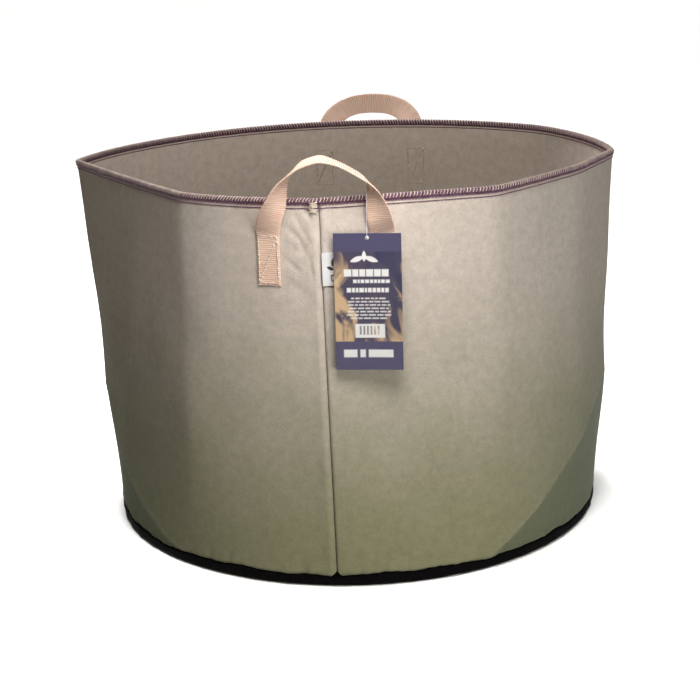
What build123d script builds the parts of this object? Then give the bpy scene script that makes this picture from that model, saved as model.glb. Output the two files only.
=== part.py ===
from build123d import *
import os
from math import atan2, cos, degrees, radians, sin

# Fabric grow bag of needled felt, millimetres, +Z up. The origin is the centre of the base's
# underside. The vertical front seam and one webbing handle are on -Y, the other handle is on +Y.

# ---- driving dimensions ----
base_diameter = 560.0
bag_height = 406.0           # to the top of the rim's overlock thread
felt = 3.0                   # thickness of the tan wall felt and of the black base felt
base_lip = 12.0              # height of the black edge that shows below the wall
seam_allowance = 15.0        # felt turned inwards at the base seam and at the front seam
seam_gap = 0.4               # between the two layers of a seam
thread = 0.8                 # thickness of overlocking thread on felt
overlock_height = 6.5
overlock_depth = 6.0         # how far an inside overlock reaches over the allowances
chain_stitch_drop = 10.0     # from the top of the rim down to the chain stitch
chain_stitch_width = 1.2
chain_stitch_relief = 0.5

webbing_width = 25.4
webbing_thickness = 1.6
handle_spacing = 114.0       # between the centrelines of a handle's two sewn ends
sewn_length = 50.0           # of webbing flat on the wall, below the top stitch row
stitch_row_drop = 33.0       # from the top of the rim down to the top stitch row
front_handle_x = 1.7
rear_handle_x = 5.0
front_loop_rise = 80.0       # from the top stitch row up to the middle of the loop
rear_loop_rise = 47.0
loop_start = 13.0            # the webbing bends between the stitch row and this height above it
routed_webbing = 25.4        # the webbing that the loops' routes suit: wider webbing stands further out
sewn_gap = 0.3               # between a sewn piece and the felt it lies on

box_stitch_inset = 2.2       # from the webbing's edges to the stitch lines
box_stitch_width = 1.4
box_stitch_thickness = 0.6

label_width = 32.0
label_height = 32.0
label_thickness = 0.8
label_stand_off = 0.9        # the folded label springs a little off the wall
label_top_drop = 50.0        # from the top of the rim to the top of the side label

card_width = 68.0
card_height = 140.0
card_thickness = 0.5
card_hole_diameter = 4.4
card_hole_drop = 4.6         # from the card's top edge to its hole's centre
card_lean = 2.5              # degrees, bottom edge away from the wall
card_stand_off = 16.0        # from the wall's face behind the hole to the card

pin_filament_diameter = 0.8
pin_bar_diameter = 1.2
pin_bar_length = 7.0
pin_paddle = (5.0, 0.8, 1.2)
pin_reach = 6.0              # from the webbing to the bar behind it
pin_edge_distance = 3.7      # from the webbing's edge to the pin
pin_bend_radius = 1.2
pin_hole_diameter = 3.0
pin_side_step = 1.3          # from the bar's middle across to the card's hole
pin_drop = 46.8              # from the webbing down to the card's hole

bartack_size = (6.0, 1.0, 8.0)

# The standing bag isn't round at its rim. Each corner of the rim is its azimuth in degrees, how far
# it stands outside the base's radius, and the rise of the arc from it to the next corner.
rim_corners = [
    (-177.8, 33.0, 1.0),     # sharp fold on the left
    (-126.2, -21.0, 9.0),    # soft fold left of the front
    (-90.6, -13.0, 6.0),     # front seam
    (-50.6, -9.0, 1.0),      # soft fold right of the front
    (-18.4, -11.0, 1.0),     # soft fold on the right
    (3.1, 19.0, 17.0),       # sharp fold on the right
    (40.2, -4.0, 94.0),      # the long round back
    (163.0, -1.0, 5.0),
]

# A handle's loop, as shares of half its spacing across, of its rise outwards and of its rise
# upwards, then the direction of its width: the turn in plan and the tip out of level, in degrees.
# The front loop turns its flat side up on its way over, so its outer edge comes to the front.
front_loop_route = [
    (-0.97, 0.08, 0.16, -4, 0),
    (-0.88, 0.14, 0.29, 14, 0),
    (-0.78, 0.18, 0.48, 44, 0),
    (-0.68, 0.22, 0.68, 70, 0),
    (-0.37, 0.27, 0.91, 88, 8),
    (0.00, 0.30, 1.00, 90, 6),
    (0.33, 0.29, 0.92, 90, -4),
    (0.56, 0.26, 0.82, 92, -2),
    (0.79, 0.24, 0.71, 100, 0),
    (0.87, 0.20, 0.61, 120, 0),
    (0.91, 0.16, 0.50, 136, 0),
    (0.96, 0.12, 0.30, 162, 0),
    (0.98, 0.08, 0.16, 182, 0),
]
# The rear loop is lower and stands further out, with its flat side more upright.
rear_loop_half = [
    (-0.98, 0.14, 0.28, 4, -4),
    (-0.93, 0.27, 0.49, 12, -17),
    (-0.83, 0.53, 0.72, 22, -37),
    (-0.62, 0.79, 0.89, 39, -50),
    (-0.34, 0.96, 0.98, 66, -60),
    (0.00, 1.02, 1.00, 90, -65),
]

base_radius = base_diameter / 2
felt_top = bag_height - thread
wall_foot = base_lip + seam_gap
stitch_row = bag_height - stitch_row_drop
FRONT = -1
BACK = 1


# ---- the wall's shape ----
def outline_arcs(height, inset=0.0):
    """The wall's outer face at a height, moved inwards by inset: a list of (start, middle, end)."""
    share = (height - wall_foot) / (bag_height - wall_foot)
    corners = []
    for azimuth, stretch, _ in rim_corners:
        radius = base_radius + stretch * share
        corners.append(Vector(radius * cos(radians(azimuth)), radius * sin(radians(azimuth))))
    arcs = []
    for i, (azimuth, _, rim_rise) in enumerate(rim_corners):
        following = (i + 1) % len(rim_corners)
        span = (rim_corners[following][0] - azimuth) % 360
        base_rise = base_radius * (1 - cos(radians(span / 2)))
        rise = base_rise + (rim_rise - base_rise) * share
        start, end = corners[i], corners[following]
        along = (end - start).normalized()
        outwards = Vector(along.Y, -along.X)
        bend = 2 * atan2(2 * rise, (end - start).length)
        arcs.append({
            "start": start,
            "middle": (start + end) / 2 + outwards * rise,
            "end": end,
            "out": outwards,
            "out_start": outwards * cos(bend) - along * sin(bend),
            "out_end": outwards * cos(bend) + along * sin(bend),
        })
    moved = []
    for i, arc in enumerate(arcs):
        before, after = arcs[i - 1]["out_end"], arc["out_start"]
        moved.append(arc["start"] - (before + after) * (inset / (1 + before.dot(after))))
    result = []
    for i, arc in enumerate(arcs):
        result.append((moved[i], arc["middle"] - arc["out"] * inset, moved[(i + 1) % len(arcs)]))
    return result


def outline_edges(height, inset=0.0):
    lift = Vector(0, 0, height)
    return [ThreePointArc(a + lift, b + lift, c + lift) for a, b, c in outline_arcs(height, inset)]


def wall_block(low, high, inset=0.0):
    """The solid inside the wall's outline between two heights."""
    sections = [Face(Wire(outline_edges(height, inset))) for height in (low, high)]
    return loft(sections, ruled=True)


def face_point(x, height, side, inset=0.0):
    """The point of the wall's outer face at an x and a height, on the front or the back."""
    for edge in outline_edges(height, inset):
        first, last = edge @ 0, edge @ 1
        if side * (edge @ 0.5).Y < 0 or not min(first.X, last.X) <= x <= max(first.X, last.X):
            continue
        low, high = (0.0, 1.0) if first.X < last.X else (1.0, 0.0)
        for _ in range(40):
            middle = (low + high) / 2
            if (edge @ middle).X < x:
                low = middle
            else:
                high = middle
        return edge @ low


def face_plane(x, height, side, inset=0.0):
    """A plane on the wall's face: x along the wall, y up, z outwards."""
    step = 4.0
    across = face_point(x + step, height, side, inset) - face_point(x - step, height, side, inset)
    up = face_point(x, height + step, side, inset) - face_point(x, height - step, side, inset)
    across = across * -side
    return Plane(face_point(x, height, side, inset), x_dir=across, z_dir=across.cross(up))


def box_on(plane, low, high):
    """A box between two corners in a plane's own coordinates."""
    size = [b - a for a, b in zip(low, high)]
    return plane * Pos(*[(a + b) / 2 for a, b in zip(low, high)]) * Box(*size)


def seam_layers(low, high, half_width, depth_start, depth_end):
    """A bar along the front seam: its outline's inset runs from depth_start to depth_end."""
    sections = []
    for height in (low, high):
        seam = outline_arcs(height)[2][0]
        inwards = (seam * -1).normalized()
        across = Vector(-inwards.Y, inwards.X) * half_width
        near = seam + inwards * depth_start + Vector(0, 0, height)
        far = seam + inwards * depth_end + Vector(0, 0, height)
        sections.append(Face(Wire.make_polygon([near - across, near + across, far + across, far - across])))
    return loft(sections, ruled=True)


# ---- felt panels ----
def make_wall_panel():
    """One strip of tan felt. Its ends turn in at the front seam and its foot at the base seam."""
    wall = wall_block(wall_foot, felt_top) - wall_block(wall_foot - 1, felt_top + 1, felt)
    foot = Pos(0, 0, wall_foot + felt / 2) * (
        Cylinder(base_radius - felt / 2, felt) - Cylinder(base_radius - seam_allowance, felt)
    )
    ends = seam_layers(
        wall_foot + 2 * felt, felt_top - overlock_height - thread, felt + seam_gap / 2,
        felt / 2, felt + seam_allowance,
    )
    slit = seam_layers(wall_foot - 1, felt_top + 1, seam_gap / 2, -felt, 2 * felt + seam_allowance)
    return wall + foot + ends - slit


def make_base_panel():
    """A disc of black felt whose edge turns up under the wall, then inwards at the base seam."""
    dish = Pos(0, 0, base_lip / 2) * Cylinder(base_radius, base_lip)
    hollow = Pos(0, 0, base_lip / 2) * Cylinder(base_radius - felt, base_lip - 2 * felt)
    mouth = Pos(0, 0, base_lip - felt / 2) * Cylinder(base_radius - seam_allowance, felt)
    return dish - hollow - mouth


# ---- threads ----
def make_rim_overlock(wall):
    """Overlocking thread wrapped over the raw edge all round the rim."""
    low = bag_height - overlock_height
    band = wall_block(low, bag_height, -thread) - wall_block(low - 1, bag_height + 1, felt + thread)
    return band - wall


def make_rim_chain_stitch(wall):
    """A line of chain stitch below the overlock, showing on both faces of the felt."""
    high = bag_height - chain_stitch_drop
    low = high - chain_stitch_width
    relief = chain_stitch_relief
    band = wall_block(low, high, -relief) - wall_block(low - 1, high + 1, felt + relief)
    ends = seam_layers(low - 1, high + 1, felt + seam_gap, felt / 2, felt + seam_allowance)
    return band - wall - ends


def make_seam_overlock(wall):
    """Overlocking thread over the raw edges of the front seam's two layers, inside the bag."""
    low, high = wall_foot + 2 * felt, felt_top - overlock_height - thread
    reach = felt + seam_allowance
    cover = seam_layers(low, high, felt + seam_gap / 2 + thread, reach - overlock_depth, reach + thread)
    return cover - wall


def make_base_seam_overlock():
    """Overlocking thread over the raw edges of the base seam's two layers, inside the bag."""
    inner = base_radius - seam_allowance
    low = base_lip - felt
    high = wall_foot + felt
    middle = (low + high) / 2
    cover = Cylinder(inner + overlock_depth, high - low + 2 * thread)
    cover -= Cylinder(inner - thread, high - low + 2 * thread)
    layers = Cylinder(inner + overlock_depth, high - low) - Cylinder(inner, high - low)
    return Pos(0, 0, middle) * (cover - layers)


def make_seam_bartack(wall, chain_stitch):
    """A cream bartack across the top of the front seam, just under the overlock."""
    width, thickness, height = bartack_size
    seam_x = outline_arcs(bag_height)[2][0].X
    top = bag_height - overlock_height - sewn_gap
    plane = face_plane(seam_x - width, top - height / 2, FRONT)
    return box_on(plane, (-width / 2, -height / 2, 0), (width / 2, height / 2, thickness)) - wall - chain_stitch


# ---- handles ----
def handle_plane(handle_x, side, end):
    """The wall's plane at the top stitch row of one sewn end, end being -1 or 1 in x."""
    return face_plane(handle_x + end * handle_spacing / 2, stitch_row, side)


def make_sewn_end(handle_x, side, end):
    """The last stretch of a handle's webbing, flat on the wall."""
    half = webbing_width / 2
    low = (-half, -sewn_length, sewn_gap)
    return box_on(handle_plane(handle_x, side, end), low, (half, 0, sewn_gap + webbing_thickness))


def make_box_stitch(handle_x, side, end):
    """The stitches of one sewn end: four sides and a diagonal, on the webbing and inside the wall."""
    half = webbing_width / 2 - box_stitch_inset
    top, bottom = -box_stitch_inset, box_stitch_inset - sewn_length
    corners = [(-half, bottom), (half, bottom), (half, top), (-half, top)]
    lines = list(zip(corners, corners[1:] + corners[:1])) + [(corners[0], corners[2])]
    sketch = Sketch()
    for start, finish in lines:
        run = Vector(*finish) - Vector(*start)
        centre = (Vector(*finish) + Vector(*start)) / 2
        turn = degrees(atan2(run.Y, run.X))
        sketch += Pos(centre.X, centre.Y) * Rot(0, 0, turn) * SlotCenterToCenter(run.length, box_stitch_width)
    outer_plane = handle_plane(handle_x, side, end).offset(sewn_gap + webbing_thickness)
    inner_face = face_plane(handle_x + end * handle_spacing / 2, stitch_row, side, felt + 2 * sewn_gap)
    inner_plane = inner_face.offset(-box_stitch_thickness)
    solids = []
    for plane in (outer_plane, inner_plane):
        solids += extrude(plane * sketch, box_stitch_thickness, dir=plane.z_dir).solids()
    return Compound(children=solids)


def loop_anchor(handle_x, side):
    """The middle of a loop's fold line, between its two sewn ends."""
    ends = [handle_plane(handle_x, side, end).origin.Y for end in (-1, 1)]
    return Vector(handle_x, sum(ends) / 2 + side * (sewn_gap + webbing_thickness / 2), stitch_row)


def loop_centres(route, handle_x, side, rise):
    anchor = loop_anchor(handle_x, side)
    half = handle_spacing / 2
    edge_room = max(webbing_width - routed_webbing, 0) / 2
    return [
        anchor + Vector(across * half, side * (outwards * rise + edge_room), max(up * rise, loop_start))
        for across, outwards, up, _, _ in route
    ]


def width_direction(turn, tip, side):
    """The direction from a loop's outer edge on the left leg to its inner edge."""
    turn, tip = radians(turn), radians(tip)
    return Vector(cos(turn) * cos(tip), -side * sin(turn) * cos(tip), sin(tip))


def make_loop(route, handle_x, side, rise):
    """The free webbing of a handle between its two fold lines, turning over on its way."""
    centres = loop_centres(route, handle_x, side, rise)
    sections = []
    for i, centre in enumerate(centres):
        ahead = centres[min(i + 1, len(centres) - 1)]
        behind = centres[max(i - 1, 0)]
        along = (ahead - behind).normalized()
        width = width_direction(route[i][3], route[i][4], side)
        width = (width - along * width.dot(along)).normalized()
        plane = Plane(centre, x_dir=width, z_dir=along)
        sections.append(plane * Rectangle(webbing_width, webbing_thickness))
    return loft(sections, ruled=True)


def mirrored_route(half):
    """A loop's whole route from its left half, which ends at the middle."""
    other = [(-across, out, up, 180 - turn, tip) for across, out, up, turn, tip in half[:-1]]
    return half + other[::-1]


# ---- label, tag and its pin ----
def label_plane():
    """The wall's plane behind the side label's middle."""
    seam_x = outline_arcs(bag_height)[2][0].X
    middle = bag_height - label_top_drop - label_height / 2
    return face_plane(seam_x + seam_gap + label_width / 2, middle, FRONT).offset(label_stand_off)


def label_fold():
    """The middle of the side label's edge in the seam, about which it flaps."""
    return label_plane().from_local_coords(Vector(-label_width / 2, 0, 0))


def make_side_label():
    """A woven label caught in the front seam, lying on the wall to its right."""
    half = (label_width / 2, label_height / 2)
    return box_on(label_plane(), (-half[0], -half[1], 0), (half[0], half[1], label_thickness))


def pin_top():
    """Where the tag's pin goes through the front loop, by the inner edge of its right leg."""
    centres = loop_centres(front_loop_route, front_handle_x, FRONT, front_loop_rise)
    index = 9
    route = front_loop_route[index]
    inner = webbing_width / 2 - pin_edge_distance
    return centres[index] + width_direction(route[3], route[4], FRONT) * inner


def card_hole():
    top = pin_top()
    x, z = top.X - pin_side_step, top.Z - pin_drop
    return Vector(x, face_point(x, z, FRONT).Y - card_stand_off, z)


def make_hang_tag():
    """A printed card with a punched hole, hanging on its pin."""
    hole = card_hole()
    low = card_hole_drop - card_height
    flat = Box(card_width, card_thickness, card_height)
    card = Pos(0, 0, (low + card_hole_drop) / 2) * flat
    card -= Rot(90, 0, 0) * Cylinder(card_hole_diameter / 2, 4 * card_thickness)
    return Pos(hole.X, hole.Y, hole.Z) * Rot(-card_lean, 0, 0) * card


def make_tag_pin():
    """A moulded nylon tag pin: a bar behind the webbing, a filament and a paddle behind the card."""
    top, hole = pin_top(), card_hole()
    depth, drop = 3 * pin_bend_radius, 2 * pin_bend_radius
    points = [
        top + Vector(pin_reach, 0, 0),
        Vector(hole.X, top.Y, top.Z),
        hole + Vector(0, -drop, 0),
        hole + Vector(0, depth / 2, 0),
    ]
    path = FilletPolyline(*points, radius=pin_bend_radius)
    filament = sweep(Plane(path @ 0, z_dir=path % 0) * Circle(pin_filament_diameter / 2), path=path)
    bar = Pos(*points[0]) * Cylinder(pin_bar_diameter / 2, pin_bar_length)
    paddle = Pos(*points[3]) * Box(*pin_paddle)
    return filament + bar + paddle


def make_front_loop():
    """The front loop, with the small hole that the tag's pin has pushed through it."""
    loop = make_loop(front_loop_route, front_handle_x, FRONT, front_loop_rise)
    top = pin_top()
    return loop - Pos(top.X, top.Y, top.Z) * Rot(0, 90, 0) * Cylinder(pin_hole_diameter / 2, 4 * pin_reach)


wall_panel = make_wall_panel()
rim_chain_stitch = make_rim_chain_stitch(wall_panel)
parts = {
    "wall_panel": wall_panel,
    "base_panel": make_base_panel(),
    "rim_overlock": make_rim_overlock(wall_panel),
    "rim_chain_stitch": rim_chain_stitch,
    "seam_overlock": make_seam_overlock(wall_panel),
    "seam_bartack": make_seam_bartack(wall_panel, rim_chain_stitch),
    "base_seam_overlock": make_base_seam_overlock(),
    "front_handle_loop": make_front_loop(),
    "rear_handle_loop": make_loop(mirrored_route(rear_loop_half), rear_handle_x, BACK, rear_loop_rise),
    "side_label": make_side_label(),
    "hang_tag": make_hang_tag(),
    "tag_pin": make_tag_pin(),
}
for handle, handle_x, side in (("front", front_handle_x, FRONT), ("rear", rear_handle_x, BACK)):
    for name, end in (("left", -1), ("right", 1)):
        parts[f"{handle}_handle_{name}_end"] = make_sewn_end(handle_x, side, end)
        parts[f"{handle}_{name}_box_stitch"] = make_box_stitch(handle_x, side, end)

os.makedirs("parts", exist_ok=True)
for name, shape in parts.items():
    shape.label = name
    export_step(shape, f"parts/{name}.step")

for handle, handle_x, side in (("front", front_handle_x, FRONT), ("rear", rear_handle_x, BACK)):
    print(handle, "fold line", [round(v, 2) for v in loop_anchor(handle_x, side)])
for name, place in (("pin top", pin_top()), ("card hole", card_hole()), ("label fold", label_fold())):
    print(name, [round(v, 2) for v in place])
for route, rise in ((front_loop_route, front_loop_rise), (mirrored_route(rear_loop_half), rear_loop_rise)):
    centres = loop_centres(route, 0, FRONT, rise)
    free = sum((b - a).length for a, b in zip(centres, centres[1:])) + 2 * loop_start
    print("free webbing", round(free, 1), "cut length", round(free + 2 * sewn_length, 1))
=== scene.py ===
from math import cos, pi, radians, sin

import bmesh
import bpy
import numpy as np
from mathutils import Matrix, Vector


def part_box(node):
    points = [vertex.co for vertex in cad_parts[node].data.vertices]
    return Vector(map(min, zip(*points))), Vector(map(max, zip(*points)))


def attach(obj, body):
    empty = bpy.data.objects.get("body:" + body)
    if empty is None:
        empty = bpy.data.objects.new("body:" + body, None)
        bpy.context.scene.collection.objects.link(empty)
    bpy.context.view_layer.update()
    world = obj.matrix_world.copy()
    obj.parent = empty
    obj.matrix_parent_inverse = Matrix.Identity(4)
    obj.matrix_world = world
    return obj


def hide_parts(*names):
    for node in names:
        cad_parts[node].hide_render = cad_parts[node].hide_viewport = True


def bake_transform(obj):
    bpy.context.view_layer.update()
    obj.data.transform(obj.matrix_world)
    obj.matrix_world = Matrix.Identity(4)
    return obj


# A standing fabric grow bag: tan needled felt on a black felt base, two webbing handles, a printed
# hang tag. Metres, +Z up, the front seam on -Y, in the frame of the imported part.
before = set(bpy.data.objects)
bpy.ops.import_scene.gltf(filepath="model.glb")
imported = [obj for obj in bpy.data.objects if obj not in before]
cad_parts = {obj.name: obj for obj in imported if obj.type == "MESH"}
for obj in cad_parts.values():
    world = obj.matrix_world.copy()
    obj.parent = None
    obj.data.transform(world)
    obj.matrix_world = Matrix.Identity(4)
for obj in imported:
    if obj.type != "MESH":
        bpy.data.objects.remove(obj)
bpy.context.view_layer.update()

# ---- camera ----
# A long lens two metres from the bag and 0.4 m above its rim, tipped slightly to one side.
camera_data = bpy.data.cameras.new("camera")
camera_data.lens, camera_data.sensor_width = 91.27, 36.0
camera = bpy.data.objects.new("camera", camera_data)
camera_turn, camera_dip, camera_roll = radians(6.17), radians(17.05), radians(-1.84)
camera.matrix_world = (
    Matrix.Translation((0.2093, -1.9789, 0.7846))
    @ Matrix.Rotation(camera_turn, 4, "Z")
    @ Matrix.Rotation(radians(90) - camera_dip, 4, "X")
    @ Matrix.Rotation(camera_roll, 4, "Z")
)
bpy.context.scene.collection.objects.link(camera)
bpy.context.scene.camera = camera

# ---- wall felt ----
# One strip of tan needle-punched polypropylene felt, 3 mm thick. Its two ends turn in and meet at the
# front seam, and its foot turns in at the base seam. Shipped folded flat, it keeps its packing creases.
BASE_RADIUS, BAG_HEIGHT, FELT = 0.280, 0.406, 0.003
WALL_FOOT, FELT_TOP = 0.0124, 0.4052
ALLOWANCE, SEAM_GAP = 0.015, 0.0004
RIM_CORNERS = (  # azimuth, distance outside the base radius, rise of the arc that follows, turn at the foot
    (-177.8, 0.033, 0.001, 0.0), (-126.2, -0.021, 0.009, 2.0), (-90.6, -0.013, 0.006, 1.5),
    (-50.6, -0.009, 0.001, 1.5), (-18.4, -0.011, 0.001, -7.0), (3.1, 0.019, 0.017, 0.0),
    (40.2, -0.004, 0.094, 0.0), (163.0, -0.001, 0.005, 0.0),
)
SEAM_CORNER = 2
SHARP_CORNERS = (0, 5)
SHARP_SOFTENING, SOFT_SOFTENING = 0.0035, 0.0065  # how far a crease in the felt is rounded
SETTLING = 0.6                                  # how soon a side leaves the foot's circle, going up
LEFT_TURN, RIGHT_TURN = 0.0062, 0.0050          # rounding of the felt as it turns in at the seam


def plan_outline(heights, arc, along):
    """The wall's outer face in plan: a row for each height, a column for each place along an arc."""
    share = ((heights - WALL_FOOT) / (BAG_HEIGHT - WALL_FOOT))[:, None]
    azimuth, stretch, rim_rise, foot_turn = (np.array(v) for v in zip(*RIM_CORNERS))
    following = (arc + 1) % len(azimuth)
    azimuth = azimuth + foot_turn * (1 - share)
    heading = np.stack([np.cos(np.radians(azimuth)), np.sin(np.radians(azimuth))], -1)
    corner = (BASE_RADIUS + stretch * share)[..., None] * heading
    start, end = corner[:, arc], corner[:, following]
    span = np.radians((azimuth[:, following] - azimuth[:, arc]) % 360)
    base_rise = BASE_RADIUS * (1 - np.cos(span / 2))
    rise = base_rise + (rim_rise[arc] - base_rise) * share**SETTLING
    chord = end - start
    length = np.linalg.norm(chord, axis=-1)
    direction = chord / length[..., None]
    outwards = np.stack([direction[..., 1], -direction[..., 0]], -1)
    radius = (length**2 / 4 + rise**2) / (2 * rise)
    turn = (2 * along - 1) * np.arcsin(np.clip(length / 2 / radius, -1, 1))
    middle = (start + end) / 2 - outwards * (radius - rise)[..., None]
    return middle + radius[..., None] * (
        outwards * np.cos(turn)[..., None] + direction * np.sin(turn)[..., None]
    )


def softened(rows, spread, step):
    """A closed outline with its creases rounded over a distance."""
    reach = int(np.ceil(3 * spread / step))
    weights = np.exp(-0.5 * (np.arange(-reach, reach + 1) * step / spread) ** 2)
    total = sum(w * np.roll(rows, k, axis=1) for k, w in zip(range(-reach, reach + 1), weights))
    return total / weights.sum()


def fine_noise(across, up, size, seed):
    """Smooth noise on a grid, mostly from -1 to 1, with features of about size, the same on every run."""
    draw = np.random.default_rng(seed)
    total = np.zeros(np.broadcast(across, up).shape)
    for _ in range(14):
        turn, phase = draw.uniform(0, 2 * pi, 2)
        wave = 2 * pi / (size * draw.uniform(1.3, 3.0))
        total += np.sin(wave * (across * cos(turn) + up * sin(turn)) + phase)
    return total / 6


# Heights of the rows: the turned-in foot, the body, and closer rows near the rim where it puckers.
turn_share = np.linspace(0, 1, 6)
FOOT_TURN = 0.0045
body_rows = np.concatenate([
    np.arange(WALL_FOOT + FOOT_TURN + 0.0028, 0.060, 0.0030), np.arange(0.062, 0.325, 0.0052),
    np.arange(0.327, FELT_TOP - 0.0012, 0.0028), [FELT_TOP],
])
row_inset = np.concatenate([[ALLOWANCE, 0.011, 0.0075], FOOT_TURN * (1 - turn_share) ** 2, 0 * body_rows])
row_height = np.concatenate([[WALL_FOOT] * 3, WALL_FOOT + FOOT_TURN * turn_share**2, body_rows])

# The outline is first drawn in even steps, each arc's number of them taken from its length halfway up.
dense_step, arc_spots, halfway = 0.002, 60, 0.2
arc_length = []
for i in range(len(RIM_CORNERS)):
    arc_line = plan_outline(np.array([halfway]), np.full(arc_spots, i), np.linspace(0, 1, arc_spots))[0]
    arc_length.append(np.linalg.norm(np.diff(arc_line, axis=0), axis=1).sum())
arc_order = [(SEAM_CORNER + k) % len(RIM_CORNERS) for k in range(len(RIM_CORNERS))]
arc_steps = [round(arc_length[i] / dense_step) for i in arc_order]
dense_arc = np.concatenate([np.full(n, i) for i, n in zip(arc_order, arc_steps)])
dense_along = np.concatenate([np.arange(n) / n for n in arc_steps])
dense_outline = plan_outline(row_height, dense_arc, dense_along)
gentle = softened(dense_outline, SOFT_SOFTENING, dense_step)
crisp = softened(dense_outline, SHARP_SOFTENING, dense_step)
corner_place = np.cumsum([0] + arc_steps[:-1]) * dense_step
dense_place = np.arange(len(dense_arc)) * dense_step
WALL_LENGTH = len(dense_arc) * dense_step
nearness = np.zeros(len(dense_arc))
for sharp in SHARP_CORNERS + (SEAM_CORNER,):
    away = np.abs(dense_place - corner_place[arc_order.index(sharp)])
    nearness += np.exp(-((np.minimum(away, WALL_LENGTH - away) / 0.030) ** 2))
dense_outline = gentle + (crisp - gentle) * np.clip(nearness, 0, 1)[None, :, None]

# Places of the columns along the wall, from the seam round to the seam, closer together near it.
right_side = np.concatenate([np.arange(RIGHT_TURN, 0.050, 0.0017), np.arange(0.051, 0.135, 0.0024)])
left_side = np.concatenate([np.arange(LEFT_TURN, 0.060, 0.0017), np.arange(0.061, 0.150, 0.0024)])
far_side = np.arange(right_side[-1] + 0.004, WALL_LENGTH - left_side[-1] - 0.003, 0.0055)
column_place = np.concatenate([right_side, far_side, (WALL_LENGTH - left_side)[::-1]])
around = np.append(dense_place, WALL_LENGTH)
closed = np.concatenate([dense_outline, dense_outline[:, :1]], axis=1)
face = np.stack([[np.interp(column_place, around, row[:, k]) for row in closed] for k in (0, 1)], -1)
place = np.where(column_place > WALL_LENGTH / 2, column_place - WALL_LENGTH, column_place)[None, :]
height = row_height[:, None]
turn_round = np.degrees(np.arctan2(face[..., 1], face[..., 0]))


def smooth_step(x):
    x = np.clip(x, 0, 1)
    return x * x * (3 - 2 * x)


# Packing folds: the base was folded up inside the bag, so an arched crease crosses each side of the
# wall near its foot. The felt stands proud along the arch and falls away below it.
SIDE_FOLDS = (  # azimuth of the top, span to the front, its power, span to the back, its power
    (3.1, 61.0, 1.5, 58.0, 1.5),
    (-177.8, 56.0, 0.75, 58.0, 1.3),
)
FOLD_TOP, FOLD_PROUD, FOLD_FADE = 0.147, 0.0065, 0.085
swell = np.zeros_like(turn_round)
below_fold = np.zeros_like(turn_round)
fold_line = np.zeros_like(turn_round)
for azimuth, front_span, front_power, back_span, back_power in SIDE_FOLDS:
    away = (turn_round - azimuth + 180) % 360 - 180
    towards_front = away < 0 if azimuth > -90 else away > 0
    span = np.where(towards_front, front_span, back_span)
    power = np.where(towards_front, front_power, back_power)
    crease = FOLD_TOP * (1 - np.clip(np.abs(away) / span, 0, 1) ** power)
    inside = crease > 0.004
    under = np.clip((crease - height) / np.maximum(crease - WALL_FOOT, 0.004), 0, 1)
    size = FOLD_PROUD * smooth_step(crease / 0.060)
    above = np.exp(-(height - crease) / FOLD_FADE)
    swell += inside * size * np.where(height < crease, 1 - under**1.4, above)
    below_fold += inside * smooth_step((crease - height) / 0.005 + 0.5)
    fold_line += inside * np.exp(-(((height - crease) / 0.0022) ** 2)) * smooth_step(crease / 0.030)
swell += 0.0006 * fold_line

# Painted shade: the felt is coloured darker and greener below the folds, and a little all round the lower
# sides.
UNSHADED_MIDDLE, UNSHADED_SPAN, SIDE_SHADE_SPAN = -84, 26, 40  # azimuths: the unshaded front, and how soon the painted shade sets in
SIDE_SHADE_TOP, SIDE_SHADE_DEPTH = 0.30, 0.24
from_front = np.abs((turn_round - UNSHADED_MIDDLE + 180) % 360 - 180)
painted_side_shade = smooth_step((from_front - UNSHADED_SPAN) / SIDE_SHADE_SPAN) * smooth_step((SIDE_SHADE_TOP - height) / SIDE_SHADE_DEPTH)
painted_shade = 1 - (1 - 0.55 * below_fold) * (1 - 0.45 * painted_side_shade)

# The left end laps a little over the right one at the seam, and its edge stands proud.
left_lap = 0.0016 * np.exp(-((place / 0.011) ** 2))
right_dip = -0.0006 * np.exp(-((place / 0.014) ** 2))
swell += np.where(place < 0, left_lap, right_dip)


# Puckers and packing creases: where each starts and ends along the wall and in height, its depth and width.
WRINKLES = (
    (-0.017, 0.398, -0.007, 0.386, -0.0020, 0.0022), (-0.007, 0.386, -0.0045, 0.368, -0.0016, 0.0020),
    (-0.034, 0.377, -0.021, 0.368, -0.0016, 0.0018), (-0.023, 0.368, -0.014, 0.352, -0.0012, 0.0024),
    (-0.028, 0.393, -0.020, 0.380, -0.0011, 0.0018), (-0.020, 0.380, -0.012, 0.366, -0.0010, 0.0018),
    (-0.036, 0.347, -0.022, 0.336, -0.0014, 0.0020), (-0.040, 0.330, -0.014, 0.312, -0.0009, 0.0030),
    (-0.031, 0.360, -0.018, 0.354, -0.0010, 0.0016), (-0.012, 0.350, -0.008, 0.326, -0.0010, 0.0022),
    (0.006, 0.404, 0.012, 0.385, -0.0006, 0.0030), (0.006, 0.300, 0.018, 0.270, -0.0005, 0.0035),
    (-0.135, 0.373, -0.062, 0.369, 0.0005, 0.0016), (-0.135, 0.320, -0.052, 0.323, 0.0005, 0.0016),
    (-0.072, 0.372, -0.052, 0.366, -0.0006, 0.0024), (-0.046, 0.322, -0.030, 0.318, -0.0006, 0.0022),
    (0.076, 0.331, 0.102, 0.327, 0.0005, 0.0015), (0.102, 0.327, 0.104, 0.312, 0.0005, 0.0015),
    (-0.120, 0.214, -0.060, 0.204, 0.0004, 0.0020), (0.030, 0.160, 0.110, 0.168, 0.0003, 0.0025),
)
for from_place, from_height, to_place, to_height, depth, width in WRINKLES:
    run = np.array([to_place - from_place, to_height - from_height])
    part = ((place - from_place) * run[0] + (height - from_height) * run[1]) / (run @ run)
    held = np.clip(part, 0, 1)
    gap = np.hypot(place - from_place - held * run[0], height - from_height - held * run[1])
    swell += depth * np.exp(-((gap / width) ** 2)) * (0.35 + 0.65 * np.sin(pi * held))

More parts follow.
